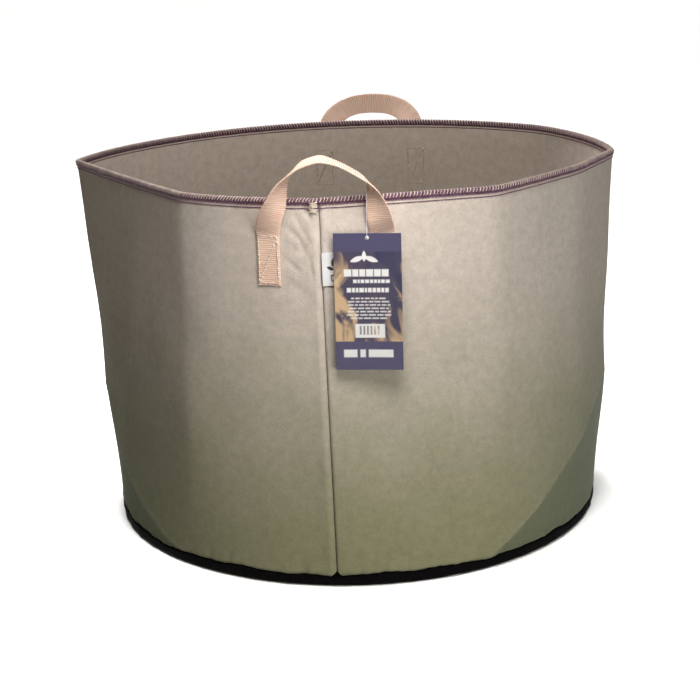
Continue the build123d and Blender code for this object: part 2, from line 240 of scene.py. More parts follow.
# Thread tension ripples the rim and gathers the foot, and the panels are never quite flat.
ripple = fine_noise(place, 0 * height, 0.011, 3) * np.exp(-(FELT_TOP - height) / 0.022)
gathers = fine_noise(place, 0.25 * height, 0.007, 5) * np.exp(-(height - WALL_FOOT) / 0.011)
loose = fine_noise(place, 0.6 * height, 0.045, 8) * np.sin(pi * np.clip(height / BAG_HEIGHT, 0, 1)) ** 0.5
swell += 0.0006 * ripple + 0.0012 * gathers + 0.0011 * loose


def foot_wave(turn):
    """How far the base seam rises and falls round the bag."""
    return 0.0009 * np.sin(9 * turn + 0.6) + 0.0006 * np.sin(23 * turn + 2.0) + 0.0004 * np.sin(41 * turn)


def plan_normals(rows):
    """The direction out of the bag, in plan, at each point of rows that run anticlockwise."""
    tangent = np.gradient(rows, axis=1)
    tangent /= np.maximum(np.linalg.norm(tangent, axis=-1), 1e-9)[..., None]
    return np.stack([tangent[..., 1], -tangent[..., 0]], -1)


face = face + plan_normals(face) * swell[..., None]

# The rim isn't level: the front is drawn up a little higher than the rest, most of all by the handle.
RIM_LIFT, LIFT_FOOT, LIFT_MIDDLE, LIFT_SPREAD = 0.0078, 0.310, radians(-76), radians(45)


def drawn_up(points):
    """How far the front of the rim lifts the cloth at some points."""
    bearing = np.arctan2(points[..., 1], points[..., 0])
    away = (bearing - LIFT_MIDDLE + pi) % (2 * pi) - pi
    share = np.clip((points[..., 2] - LIFT_FOOT) / (FELT_TOP - LIFT_FOOT), 0, 1) ** 1.5
    return RIM_LIFT * np.exp(-((away / LIFT_SPREAD) ** 2)) * share


# The two ends: each turns into the bag at the seam, over a rounded edge, and runs in by its allowance.
ALLOWANCE_COLUMNS = 4
TURN_COLUMNS = ALLOWANCE_COLUMNS + len(turn_share) - 1
turns = []
for end, edge_turn, side in ((0, RIGHT_TURN, 1), (-1, LEFT_TURN, -1)):
    near = face[:, end]
    seam = np.array([np.interp(0.0, [-LEFT_TURN, RIGHT_TURN], [face[r, -1, k], face[r, 0, k]])
                     for r in range(len(face)) for k in (0, 1)]).reshape(-1, 2)
    inwards = -seam / np.linalg.norm(seam, axis=1)[:, None]
    across = np.stack([-inwards[:, 1], inwards[:, 0]], -1)
    across *= np.sign((across * (near - seam)).sum(1))[:, None]
    corner = seam + across * SEAM_GAP / 2
    inner = corner + inwards * edge_turn
    depths = np.linspace(FELT + ALLOWANCE, edge_turn, ALLOWANCE_COLUMNS + 1)[:-1]
    columns = [corner + inwards * d for d in depths]
    columns += [(1 - t) ** 2 * inner + 2 * t * (1 - t) * corner + t * t * near for t in turn_share[:-1]]
    turns.append(np.stack(columns, 1))
on_face = np.concatenate([np.zeros(ALLOWANCE_COLUMNS), turn_share[:-1], np.ones(face.shape[1]),
                          turn_share[:-1][::-1], np.zeros(ALLOWANCE_COLUMNS)])
outer_plan = np.concatenate([turns[0], face, turns[1][:, ::-1]], axis=1)
column_count = outer_plan.shape[1]


def with_ends(rows):
    """Values on the face, held along the turned-in ends."""
    return np.concatenate([rows[:, :1]] * TURN_COLUMNS + [rows] + [rows[:, -1:]] * TURN_COLUMNS, axis=1)


END_LOW, END_HIGH = WALL_FOOT + 2 * FELT, 0.398
normals = plan_normals(outer_plan)
outward = outer_plan / np.linalg.norm(outer_plan, axis=-1)[..., None]
bearing = np.arctan2(outer_plan[..., 1], outer_plan[..., 0])
end_height = np.clip(height, END_LOW, END_HIGH)
outer_height = end_height + (height - end_height) * on_face
profile = np.stack([np.gradient(-row_inset), np.gradient(row_height)], -1)
profile /= np.linalg.norm(profile, axis=1)[:, None]
lean = (1 + (profile[:, 1:] - 1) * on_face)[..., None]
drop = -profile[:, :1] * on_face
outer_plan = outer_plan - outward * (row_inset[:, None] * on_face)[..., None]
outer_height = outer_height + foot_wave(bearing) * np.exp(-(outer_height - WALL_FOOT) / 0.02) * on_face
outer_skin = np.concatenate([outer_plan, outer_height[..., None]], -1)
outer_skin[..., 2] += drawn_up(outer_skin)
inner_skin = outer_skin - FELT * np.concatenate([normals * lean, drop[..., None]], -1)


def linear(colour):
    """An sRGB hex colour as linear red, green, blue and alpha."""
    parts = [int(colour[i:i + 2], 16) / 255 for i in (0, 2, 4)]
    return tuple(c / 12.92 if c <= 0.04045 else ((c + 0.055) / 1.055) ** 2.4 for c in parts) + (1.0,)


def add(tree, kind, inputs=None, **settings):
    """Adds a node with its settings. An input is linked if it is given an output, and otherwise set."""
    made = tree.nodes.new(kind)
    for name, value in settings.items():
        setattr(made, name, value)
    for socket, value in (inputs or {}).items():
        if isinstance(value, bpy.types.NodeSocket):
            tree.links.new(value, made.inputs[socket])
        else:
            made.inputs[socket].default_value = value
    return made


def material(name, **values):
    """A new material, its node tree and its shader, with the values that are the same all over."""
    made = bpy.data.materials.new(name)
    made.use_nodes = True
    shader = made.node_tree.nodes["Principled BSDF"]
    for socket, value in values.items():
        shader.inputs[socket.replace("_", " ")].default_value = value
    return made, made.node_tree, shader


def dress(tree, shader, **outputs):
    """Links what the nodes work out to the shader's inputs of the same names."""
    for socket, output in outputs.items():
        tree.links.new(output, shader.inputs[socket.replace("_", " ")])


def piece(name, points, faces, finish, places=None, values=None):
    """A mesh object with one finish, its place on the cloth as UV and any values of its own."""
    mesh = bpy.data.meshes.new(name)
    faces = faces.tolist() if isinstance(faces, np.ndarray) else faces
    mesh.from_pydata(np.asarray(points).reshape(-1, 3).tolist(), [], faces)
    mesh.materials.append(finish)
    if places is not None:
        corner_vertex = np.zeros(len(mesh.loops), int)
        mesh.loops.foreach_get("vertex_index", corner_vertex)
        layer = mesh.uv_layers.new(name="cloth")
        layer.data.foreach_set("uv", np.asarray(places, np.float32).reshape(-1, 2)[corner_vertex].ravel())
    for key, amount in (values or {}).items():
        layer = mesh.attributes.new(key, "FLOAT", "POINT")
        layer.data.foreach_set("value", np.asarray(amount, np.float32).ravel())
    mesh.polygons.foreach_set("use_smooth", [True] * len(mesh.polygons))
    made = bpy.data.objects.new(name, mesh)
    bpy.context.scene.collection.objects.link(made)
    return made


def grid_faces(rows, columns, start=0, flip=False):
    """Faces of a grid of points, row by row."""
    first = start + (np.arange(rows - 1)[:, None] * columns + np.arange(columns - 1)).ravel()
    quads = np.stack([first, first + 1, first + columns + 1, first + columns], 1)
    return quads[:, ::-1] if flip else quads


def border_faces(rows, columns):
    """Faces that join the borders of two such grids, the second after the first."""
    index = np.arange(rows * columns).reshape(rows, columns)
    loop = np.concatenate([index[0], index[1:, -1], index[-1, -2::-1], index[-2:0:-1, 0]])
    after = np.roll(loop, -1)
    return np.stack([loop, loop + rows * columns, after + rows * columns, after], 1)


def shell_faces(rows, columns):
    """Faces of a closed sheet: two such grids, the second turned over, and the border between them."""
    return np.concatenate([grid_faces(rows, columns), grid_faces(rows, columns, rows * columns, True),
                           border_faces(rows, columns)])


def tidy_mesh(obj, nearest=0.00001):
    """Merges points that lie together and turns every face outwards."""
    work = bmesh.new()
    work.from_mesh(obj.data)
    bmesh.ops.remove_doubles(work, verts=work.verts, dist=nearest)
    bmesh.ops.recalc_face_normals(work, faces=work.faces)
    work.to_mesh(obj.data)
    work.free()


# Needle-punched felt: matt and fuzzy, with tufts brushed aslant in patches. Fibres are 0.03 mm thick,
# so the tufts that they lie in are drawn instead, 6 mm long and 0.9 mm wide. Painted shade makes the tan
# darker and olive towards the foot and below the folds, and a painted highlight lightens the creases.
tan_felt, tree, shader = material("needle_punched_tan_felt", Sheen_Weight=0.25, Sheen_Roughness=0.6)
cloth = add(tree, "ShaderNodeUVMap", uv_map="cloth").outputs[0]
tufts = []
for lie, seed in ((58, 0.0), (-38, 4.0)):
    aslant = add(tree, "ShaderNodeMapping", {"Vector": cloth, "Rotation": (0, 0, radians(lie)),
                                             "Scale": (0.006, 0.0009, 1.0), "Location": (seed, seed, 0)},
                 vector_type="TEXTURE")
    tufts.append(add(tree, "ShaderNodeTexNoise", {"Vector": aslant.outputs[0], "Scale": 1.0, "Detail": 3.0,
                                                  "Roughness": 0.6, "Distortion": 0.4}).outputs[0])
patches = add(tree, "ShaderNodeTexNoise", {"Vector": cloth, "Scale": 1 / 0.045, "Detail": 2.0})
patch_share = add(tree, "ShaderNodeMapRange", {0: patches.outputs[0], 1: 0.4, 2: 0.6})
tuft = add(tree, "ShaderNodeMix", {0: patch_share.outputs[0], 2: tufts[0], 3: tufts[1]}).outputs[0]
fuzz = add(tree, "ShaderNodeTexNoise", {"Vector": cloth, "Scale": 1 / 0.0016, "Detail": 2.0}).outputs[0]
relief = add(tree, "ShaderNodeMath", {0: fuzz, 1: 0.60, 2: tuft}, operation="MULTIPLY_ADD").outputs[0]
# Painted shade: the tan is coloured darker and olive towards the foot, its edge blurred by the patches.
up_wall = add(tree, "ShaderNodeSeparateXYZ", {0: cloth}).outputs[1]
drift = add(tree, "ShaderNodeMath", {0: patches.outputs[0], 1: 0.10, 2: up_wall}, operation="MULTIPLY_ADD")
unshaded_share = add(tree, "ShaderNodeMapRange", {0: drift.outputs[0], 1: 0.06, 2: 0.40},
            interpolation_type="SMOOTHSTEP").outputs[0]
ground = add(tree, "ShaderNodeMix", {0: unshaded_share, 6: linear("A3A27E"), 7: linear("D9CEC5")}, data_type="RGBA")
# Painted shade: darker and greener below the packing folds and on the lower sides.
shade_amount = add(tree, "ShaderNodeAttribute", attribute_name="painted_shade").outputs["Fac"]
with_painted_shade = add(tree, "ShaderNodeMix", {0: shade_amount, 6: ground.outputs[2], 7: linear("66755A")}, data_type="RGBA")
# Painted highlight: the felt is coloured lighter along each packing crease.
edge = add(tree, "ShaderNodeAttribute", attribute_name="fold_line").outputs["Fac"]
with_crease_highlight = add(tree, "ShaderNodeMix", {0: add(tree, "ShaderNodeMath", {0: edge, 1: 0.30},
                                            operation="MULTIPLY").outputs[0],
                                     6: with_painted_shade.outputs[2], 7: linear("D8CCB8")}, data_type="RGBA")
clump = add(tree, "ShaderNodeTexNoise", {"Vector": cloth, "Scale": 1 / 0.010, "Detail": 3.0,
                                         "Roughness": 0.7}).outputs[0]
fibres = add(tree, "ShaderNodeMix", {0: 0.35, 2: tuft, 3: fuzz}).outputs[0]
nap = add(tree, "ShaderNodeMix", {0: 0.40, 2: fibres, 3: clump}).outputs[0]
light = add(tree, "ShaderNodeMapRange", {0: nap, 1: 0.36, 2: 0.64, 3: 0.80, 4: 1.16}).outputs[0]
tinted = add(tree, "ShaderNodeVectorMath", {0: with_crease_highlight.outputs[2], 3: light}, operation="SCALE")
rough = add(tree, "ShaderNodeMapRange", {0: fuzz, 1: 0.3, 2: 0.7, 3: 0.88, 4: 1.0}).outputs[0]
raised = add(tree, "ShaderNodeBump", {"Height": relief, "Distance": 0.0006, "Strength": 0.6})
dress(tree, shader, Base_Color=tinted.outputs[0], Roughness=rough, Normal=raised.outputs[0])

row_count = len(row_height)
cloth_place = np.zeros((row_count, column_count, 2))
turned_in = np.linspace(-0.018, 0.004, TURN_COLUMNS)
cloth_place[..., 0] = np.concatenate([turned_in, column_place, WALL_LENGTH - turned_in[::-1]])
cloth_place[..., 1] = outer_height - row_inset[:, None]
wall = piece(
    "wall_felt", np.concatenate([outer_skin.reshape(-1, 3), inner_skin.reshape(-1, 3)]),
    shell_faces(row_count, column_count), tan_felt, np.concatenate([cloth_place.reshape(-1, 2)] * 2),
    # The painted shade and the painted crease highlight are stored as values on the points.
    {"painted_shade": np.concatenate([with_ends(painted_shade).ravel()] * 2),
     "fold_line": np.concatenate([with_ends(fold_line).ravel()] * 2)},
)
tidy_mesh(wall)
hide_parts("wall_panel")
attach(wall, "bag")

# ---- base felt ----
# A disc of black needle-punched felt, 3 mm thick, cut wider than the bag's foot. Its edge turns up
# 12 mm and then inwards, where it is overlocked to the wall's foot, so a black band shows all round.
BASE_LIP, UNDER_TURN, UPPER_TURN = 0.012, 0.0045, 0.0026
quarter = np.linspace(0, pi / 2, 6)
base_profile = [(r, FELT) for r in np.linspace(0.0, BASE_RADIUS - FELT - 0.002, 8)]
base_profile += [(BASE_RADIUS - FELT, FELT + 0.002), (BASE_RADIUS - FELT, BASE_LIP - FELT - 0.001)]
base_profile += [(BASE_RADIUS - ALLOWANCE, BASE_LIP - FELT), (BASE_RADIUS - ALLOWANCE, BASE_LIP)]
base_profile += [(BASE_RADIUS - 0.008, BASE_LIP)]
base_profile += [(BASE_RADIUS - UPPER_TURN * (1 - sin(a)), BASE_LIP - UPPER_TURN * (1 - cos(a)))
                 for a in quarter]
base_profile += [(BASE_RADIUS - UNDER_TURN * (1 - cos(a)), UNDER_TURN * (1 - sin(a))) for a in quarter]
base_profile += [(r, 0.0) for r in np.linspace(BASE_RADIUS - 0.010, 0.0, 8)]
base_profile = np.array(base_profile)
turns_round = np.linspace(0, 2 * pi, 301)[:-1]
radius, lift = base_profile[:, :1], base_profile[:, 1:]
edge_share = np.clip((radius - 0.262) / 0.016, 0, 1)
edge_share = edge_share * np.sin(pi * np.clip(lift / BASE_LIP, 0, 1))
bulge = fine_noise(turns_round * BASE_RADIUS, 0 * lift, 0.012, 12)
reach = radius + 0.0009 * bulge * edge_share - 0.0006 * edge_share
rise = lift + foot_wave(turns_round) * np.clip(lift / BASE_LIP, 0, 1) * np.clip((radius - 0.25) / 0.02, 0, 1)
base_points = np.stack([reach * np.cos(turns_round), reach * np.sin(turns_round),
                        rise + 0 * turns_round], -1)
base_points = np.concatenate([base_points, base_points[:, :1]], axis=1)
base_place = np.stack(np.broadcast_arrays(turns_round * BASE_RADIUS, np.cumsum(
    np.append(0, np.linalg.norm(np.diff(base_profile, axis=0), axis=1)))[:, None]), -1)
base_place = np.concatenate([base_place, base_place[:, :1]], axis=1)

# Black felt: the same needled cloth dyed through, so only its fuzz and a grey bloom catch the light.
black_felt, tree, shader = material("needle_punched_black_felt", Specular_IOR_Level=0.08)
spot = add(tree, "ShaderNodeNewGeometry").outputs["Position"]
tuft = add(tree, "ShaderNodeTexNoise", {"Vector": spot, "Scale": 1 / 0.004, "Detail": 3.0}).outputs[0]
bloom = add(tree, "ShaderNodeMapRange", {0: tuft, 1: 0.35, 2: 0.75}).outputs[0]
tone = add(tree, "ShaderNodeMix", {0: bloom, 6: linear("040304"), 7: linear("120F12")}, data_type="RGBA")
rough = add(tree, "ShaderNodeMapRange", {0: tuft, 3: 0.85, 4: 1.0}).outputs[0]
raised = add(tree, "ShaderNodeBump", {"Height": tuft, "Distance": 0.0008, "Strength": 0.6})
dress(tree, shader, Base_Color=tone.outputs[2], Roughness=rough, Normal=raised.outputs[0])
base = piece("base_felt", base_points, grid_faces(*base_points.shape[:2]), black_felt, base_place)
tidy_mesh(base)
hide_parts("base_panel")
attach(base, "bag")

# ---- rim overlock ----
# Three-thread overlocking over the raw edge all round the rim: maroon looper threads lie close
# together over the felt, and a cream thread shows between them on the upper half of the edge.
STITCH = 0.0036
LOOPER, LOOP_FOOT, CREAM = 0.00085, 0.00060, 0.00046  # the threads' radii
lookup_place = np.append(column_place, WALL_LENGTH + column_place[0])
on_round = [*range(TURN_COLUMNS, column_count - TURN_COLUMNS), TURN_COLUMNS]
lookup_face, lookup_normal = outer_skin[:, on_round], normals[:, on_round]
first_row = len(row_inset) - len(body_rows)


def on_wall(place, height, lift=0.0):
    """Points at places along the wall and heights, lifted off its outer face. A negative lift goes in."""
    place, height, lift = np.broadcast_arrays(*(np.asarray(v, float) for v in (place, height, lift)))
    place = np.where(place < column_place[0], place + WALL_LENGTH, place)
    place = np.where(place > lookup_place[-1], place - WALL_LENGTH, place)
    column = np.interp(place, lookup_place, np.arange(len(lookup_place)))
    held = np.clip(height, body_rows[0], body_rows[-1])
    row = np.interp(held, body_rows, first_row + np.arange(len(body_rows)))
    c, r = column.astype(int), row.astype(int)
    d, s = np.minimum(c + 1, len(lookup_place) - 1), np.minimum(r + 1, len(row_height) - 1)
    u, v = (column - c)[..., None], (row - r)[..., None]

    def between(values):
        return ((values[r, c] * (1 - u) + values[r, d] * u) * (1 - v)
                + (values[s, c] * (1 - u) + values[s, d] * u) * v)

    point, normal = between(lookup_face), between(lookup_normal)
    normal /= np.linalg.norm(normal, axis=-1)[..., None]
    point[..., :2] += normal * lift[..., None]
    point[..., 2] = height
    point[..., 2] += drawn_up(point)
    return point


def threads(paths, radius, sides=6, flatten=1.0, away=None):
    """Round threads along many paths at once, with closed ends: (points, faces)."""
    paths = np.asarray(paths, float)
    count, steps = paths.shape[:2]
    tangent = np.gradient(paths, axis=1)
    tangent /= np.linalg.norm(tangent, axis=-1)[..., None]
    away = np.array([0.31, 0.17, 0.93]) if away is None else np.asarray(away)
    side = np.cross(tangent, np.broadcast_to(away, tangent.shape))
    side /= np.linalg.norm(side, axis=-1)[..., None]
    other = np.cross(side, tangent)
    angle = np.linspace(0, 2 * pi, sides + 1)[:-1]
    radius = np.broadcast_to(radius, (count, steps))[..., None, None]
    ring = paths[:, :, None] + radius * (np.cos(angle)[:, None] * side[:, :, None]
                                         + flatten * np.sin(angle)[:, None] * other[:, :, None])
    index = np.arange(count * steps * sides).reshape(count, steps, sides)
    a, b = index[:, :-1], index[:, 1:]
    walls = np.stack([a, np.roll(a, -1, 2), np.roll(b, -1, 2), b], -1).reshape(-1, 4).tolist()
    caps = index[:, 0, ::-1].tolist() + index[:, -1].tolist()
    return ring.reshape(-1, 3), walls + caps


def joined(*parts):
    """Several (points, faces) as one."""
    points, faces, start = [], [], 0
    for some_points, some_faces in parts:
        points.append(np.asarray(some_points).reshape(-1, 3))
        some_faces = some_faces.tolist() if isinstance(some_faces, np.ndarray) else some_faces
        faces += [[v + start for v in face] for face in some_faces]
        start += len(points[-1])
    return np.concatenate(points), faces


def over_edge(places, slant, stops):
    """Threads up the outer face, across the edge and down inside. A stop is (aslant, height, lift)."""
    return np.stack([on_wall(places + slant * a, h, lift) for a, h, lift in stops], axis=1)


stitch_count = round(WALL_LENGTH / STITCH)
stitch_places = np.arange(stitch_count) * WALL_LENGTH / stitch_count
jitter = np.random.default_rng(21)
wobble = jitter.normal(0, 0.00018, stitch_count)
looper = over_edge(stitch_places + wobble, 0.0016, (
    (-0.9, 0.4010, 0.0002), (-0.6, 0.4016, 0.0009), (0.0, 0.4033, 0.0010), (0.6, 0.4049, 0.0008),
    (0.9, 0.4060, -0.0004), (0.9, 0.4062, -0.0018), (0.6, 0.4052, -0.0036), (0.1, 0.4026, -0.0040),
    (-0.6, 0.3996, -0.0039),
))
loop_foot = over_edge(stitch_places + wobble + 0.0006, 0.0018, (
    (-0.8, 0.4009, 0.0006), (-0.2, 0.4004, 0.0009), (0.5, 0.4005, 0.0009), (1.0, 0.4012, 0.0006),
))
bed_stops = ((0.4010, 0.0003), (0.4034, 0.0004), (0.4050, 0.0004), (0.4057, -0.0002), (0.4059, -0.0015),
             (0.4057, -0.0028), (0.4050, -0.0034), (0.4025, -0.0034), (0.3996, -0.0034))
bed_places = np.linspace(0, WALL_LENGTH, 520)
bed_outer = np.stack([on_wall(bed_places, h, lift) for h, lift in bed_stops])
bed_inner = np.stack([on_wall(bed_places, min(h, FELT_TOP + 0.0001), np.clip(lift, -FELT - 0.0001, 0.0001))
                      for h, lift in bed_stops])
bed_points = np.concatenate([bed_outer.reshape(-1, 3), bed_inner.reshape(-1, 3)])
bed_faces = shell_faces(len(bed_stops), len(bed_places))

# Twisted polyester thread: a soft satin, each stitch catching the light a little differently.
TWIST = 0.0011


def thread_material(name, dark, light):
    made, tree, shader = material(name, Sheen_Weight=0.15, Sheen_Roughness=0.4, Roughness=0.55)
    spot = add(tree, "ShaderNodeNewGeometry").outputs["Position"]
    vary = add(tree, "ShaderNodeTexNoise", {"Vector": spot, "Scale": 1 / 0.0035, "Detail": 2.0}).outputs[0]
    ply = add(tree, "ShaderNodeTexNoise", {"Vector": spot, "Scale": 1 / TWIST, "Detail": 1.0}).outputs[0]
    share = add(tree, "ShaderNodeMapRange", {0: vary, 1: 0.3, 2: 0.7}).outputs[0]
    tone = add(tree, "ShaderNodeMix", {0: share, 6: linear(dark), 7: linear(light)}, data_type="RGBA")
    raised = add(tree, "ShaderNodeBump", {"Height": ply, "Distance": 0.0003, "Strength": 0.5})
    dress(tree, shader, Base_Color=tone.outputs[2], Normal=raised.outputs[0])
    return made


maroon_thread = thread_material("twisted_maroon_polyester_thread", "563047", "85607A")
cream_thread = thread_material("twisted_cream_polyester_thread", "D2C1B0", "F4EADF")
maroon_points, maroon_faces = joined(threads(looper, LOOPER, flatten=0.7, away=(0, 0, 1)),
                                     threads(loop_foot, LOOP_FOOT, sides=5), (bed_points, bed_faces))
rim_thread = piece("rim_overlock_thread", maroon_points, maroon_faces, maroon_thread)
cream_path = over_edge(stitch_places + wobble + STITCH / 2, 0.0016, (
    (-0.3, 0.4027, 0.0010), (0.0, 0.4036, 0.0013), (0.3, 0.4046, 0.0012), (0.7, 0.4057, 0.0006),
    (0.9, 0.4064, -0.0010), (0.9, 0.4062, -0.0024), (0.6, 0.4048, -0.0042), (0.2, 0.4030, -0.0043),
    (0.0, 0.4018, -0.0036),
))
cream_size = CREAM * (1 + jitter.normal(0, 0.14, stitch_count))[:, None]
rim_cream = piece("rim_overlock_cream_thread", *threads(cream_path, cream_size, away=(0, 0, 1)),
                  cream_thread)
for made, colour in ((rim_thread, "maroon_thread"), (rim_cream, "cream_thread")):
    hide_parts("rim_overlock")
    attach(made, "bag")

# ---- rim chain stitch ----
# A line of maroon chain stitch about 9 mm below the top, through the felt. Its links lie a little sunk in
# the soft face, one every 3.6 mm, on both sides of the wall.
CHAIN, CHAIN_HEIGHT = 0.00062, 0.3972  # the thread's radius, and how high the line runs
chain_stops = ((-0.0016, -0.0002), (-0.0008, 0.0005), (0.0008, 0.0005), (0.0016, -0.0002))
chains = []
for skin, out in ((0.0, 1), (-FELT, -1)):
    path = [on_wall(stitch_places + along, CHAIN_HEIGHT, skin + out * lift) for along, lift in chain_stops]
    chains.append(threads(np.stack(path, 1), CHAIN))
chain = piece("rim_chain_thread", *joined(*chains), maroon_thread)
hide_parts("rim_chain_stitch")
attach(chain, "bag")

# ---- seam overlock and base seam overlock ----
# Inside the bag the raw edges of both seams are overlocked in maroon. The threads wrap the two
# layers of felt at the front seam, and the wall's and the base's allowances at the foot.
seam_heights = np.arange(END_LOW + 0.002, END_HIGH - 0.002, STITCH)
end_columns = [np.stack([np.interp(seam_heights, row_height[first_row:], outer_skin[first_row:, c, k])
                         for k in (0, 1)], -1) for c in (0, -1)]
end_middle = (end_columns[0] + end_columns[1]) / 2
inwards = -end_middle / np.linalg.norm(end_middle, axis=1)[:, None]
across = np.stack([-inwards[:, 1], inwards[:, 0]], -1)


def round_seam(depth, half_width, rise):
    plan = end_middle + inwards * depth + across * half_width
    return np.concatenate([plan, (seam_heights + rise)[:, None]], -1)


OVERLOCK = 0.0008  # the thread's radius
half_stack = FELT + SEAM_GAP / 2 + 0.0006
seam_loops = np.stack([round_seam(d, w, rise) for d, w, rise in (
    (-0.0060, -half_stack, -0.0014), (-0.0030, -half_stack - 0.0002, 0.0), (0.0, -half_stack, 0.0008),
    (0.0008, -half_stack / 2, 0.0012), (0.0010, 0.0, 0.0013), (0.0008, half_stack / 2, 0.0012),
    (0.0, half_stack, 0.0008), (-0.0030, half_stack + 0.0002, 0.0), (-0.0060, half_stack, -0.0014),
)], axis=1)
seam_thread = piece("seam_overlock_thread", *threads(seam_loops, OVERLOCK), maroon_thread)
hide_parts("seam_overlock")
inner_ring = BASE_RADIUS - ALLOWANCE
ring_turns = np.arange(round(2 * pi * inner_ring / STITCH)) * STITCH / inner_ring
ring_loops = np.stack([np.stack([
    (inner_ring + out) * np.cos(ring_turns + turn / inner_ring),
    (inner_ring + out) * np.sin(ring_turns + turn / inner_ring), high + 0 * ring_turns], -1)
    for out, high, turn in (
        (0.0055, 0.0163, -0.0012), (0.0030, 0.0165, 0.0), (0.0, 0.0162, 0.0008), (-0.0009, 0.0145, 0.0012),
        (-0.0010, 0.0122, 0.0013), (-0.0009, 0.0100, 0.0012), (0.0, 0.0082, 0.0008), (0.0030, 0.0080, 0.0),
        (0.0055, 0.0082, -0.0012))], axis=1)
base_thread = piece("base_seam_overlock_thread", *threads(ring_loops, OVERLOCK), maroon_thread)
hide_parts("base_seam_overlock")
for made in (seam_thread, base_thread):
    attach(made, "bag")

# ---- seam bartack ----
# A dense zigzag of cream thread that locks the top of the front seam, just left of it. Thread and
# felt pull together there, so it stands up as a small hard lump. The chain stitch crosses it in a gap.
TACK, TACK_PLACE, TACK_ROW = 0.00060, -0.0050, 0.00105  # the thread's radius, its place, the rows' spacing
tack_rows = np.concatenate([np.arange(0.3944, 0.3965, TACK_ROW), np.arange(0.3984, 0.4036, TACK_ROW)])
tack_swing = np.where(np.arange(len(tack_rows)) % 2, 0.0004, -0.0004)
tack_path = np.stack([on_wall(TACK_PLACE + a, tack_rows + tack_swing * b, lift) for a, b, lift in (
    (-0.0038, -1.0, 0.0004), (-0.0030, -0.7, 0.0018), (0.0, 0.0, 0.0024), (0.0030, 0.7, 0.0019),
    (0.0038, 1.0, 0.0004))], axis=1)
tack_size = TACK * (1 + np.random.default_rng(4).normal(0, 0.12, len(tack_rows)))[:, None]
tack = piece("bartack_thread", *threads(tack_path, tack_size, away=(0, 0, 1)), cream_thread)
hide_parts("seam_bartack")
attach(tack, "bag")

# ---- webbing handles ----
# Each handle is one length of 25.4 mm ribbed polypropylene webbing, its ends sewn flat on the wall 114 mm
# apart. The loop between them bends at the stitch row.
WEBBING, WEBBING_THICKNESS, SEWN_GAP, STITCH_ROW = 0.0254, 0.0016, 0.0003, 0.373
SEWN_LENGTH, RIB, LOOP_BEND = 0.050, 0.0022, 0.0050

# Each handle's side of the bag, its loop's rise and its route. A stop gives the way along as a share of
# half the spacing, the ways out and up as shares of the rise, and the width's turn and tilt in degrees.
HANDLES = {
    "front": (-1, 0.080, (
        (-0.97, 0.11, 0.16, -4, 0), (-0.88, 0.17, 0.29, 14, 0), (-0.78, 0.21, 0.48, 44, 0),
        (-0.68, 0.22, 0.68, 70, 0), (-0.37, 0.27, 0.91, 88, 8), (0.00, 0.30, 1.00, 90, 6),
        (0.33, 0.29, 0.92, 90, -4), (0.56, 0.26, 0.82, 92, -2), (0.79, 0.24, 0.71, 100, 0),
        (0.87, 0.22, 0.61, 120, 0), (0.91, 0.19, 0.50, 136, 0), (0.96, 0.15, 0.30, 162, 0),
        (0.98, 0.11, 0.16, 182, 0))),
    "rear": (1, 0.047, (
        (-0.98, 0.14, 0.28, 4, -4), (-0.93, 0.27, 0.49, 12, -17), (-0.83, 0.53, 0.72, 22, -37),
        (-0.62, 0.79, 0.89, 39, -50), (-0.34, 0.96, 0.98, 66, -60), (0.00, 1.02, 1.00, 90, -65),
        (0.34, 0.96, 0.98, 114, -60), (0.62, 0.79, 0.89, 141, -50), (0.83, 0.53, 0.72, 158, -37),
        (0.93, 0.27, 0.49, 168, -17), (0.98, 0.14, 0.28, 176, -4))),
}

# Woven polypropylene: hard-twisted ribs across the strap with a low sheen. The valleys between the
# ribs look deeper in colour because light bounces inside them.
webbing_weave, tree, shader = material("woven_polypropylene_webbing", Sheen_Weight=0.2, Sheen_Roughness=0.35)
cloth = add(tree, "ShaderNodeUVMap", uv_map="cloth").outputs[0]
strap_across, strap_along = add(tree, "ShaderNodeSeparateXYZ", {0: cloth}).outputs[:2]
stretched_noise = add(tree, "ShaderNodeMapping", {"Vector": cloth, "Scale": (0.016, 0.0011, 1.0)},
                      vector_type="TEXTURE").outputs[0]
strand = add(tree, "ShaderNodeTexNoise", {"Vector": stretched_noise, "Scale": 1.0, "Detail": 2.0}).outputs[0]
rib_turn = add(tree, "ShaderNodeMath", {0: strap_along, 1: 2 * pi / RIB}, operation="MULTIPLY").outputs[0]
rib_wave = add(tree, "ShaderNodeMath", {0: rib_turn}, operation="COSINE").outputs[0]
uneven = add(tree, "ShaderNodeMath", {0: strand, 1: 3.2, 2: rib_wave}, operation="MULTIPLY_ADD").outputs[0]
ridge = add(tree, "ShaderNodeMapRange", {0: uneven, 1: 0.3, 2: 2.6}).outputs[0]
tone = add(tree, "ShaderNodeMix", {0: ridge, 6: linear("E6AE8A"), 7: linear("FFEBE0")}, data_type="RGBA")
yarn = add(tree, "ShaderNodeMath", {0: strap_across, 1: 2 * pi / 0.0009}, operation="MULTIPLY").outputs[0]
yarn_wave = add(tree, "ShaderNodeMath", {0: yarn}, operation="SINE").outputs[0]
grain = add(tree, "ShaderNodeMath", {0: yarn_wave, 1: 0.25, 2: strand}, operation="MULTIPLY_ADD").outputs[0]
raised = add(tree, "ShaderNodeBump", {"Height": grain, "Distance": 0.0003, "Strength": 0.5})
rough = add(tree, "ShaderNodeMapRange", {0: strand, 1: 0.3, 2: 0.7, 3: 0.50, 4: 0.68}).outputs[0]
dress(tree, shader, Base_Color=tone.outputs[2], Roughness=rough, Normal=raised.outputs[0])


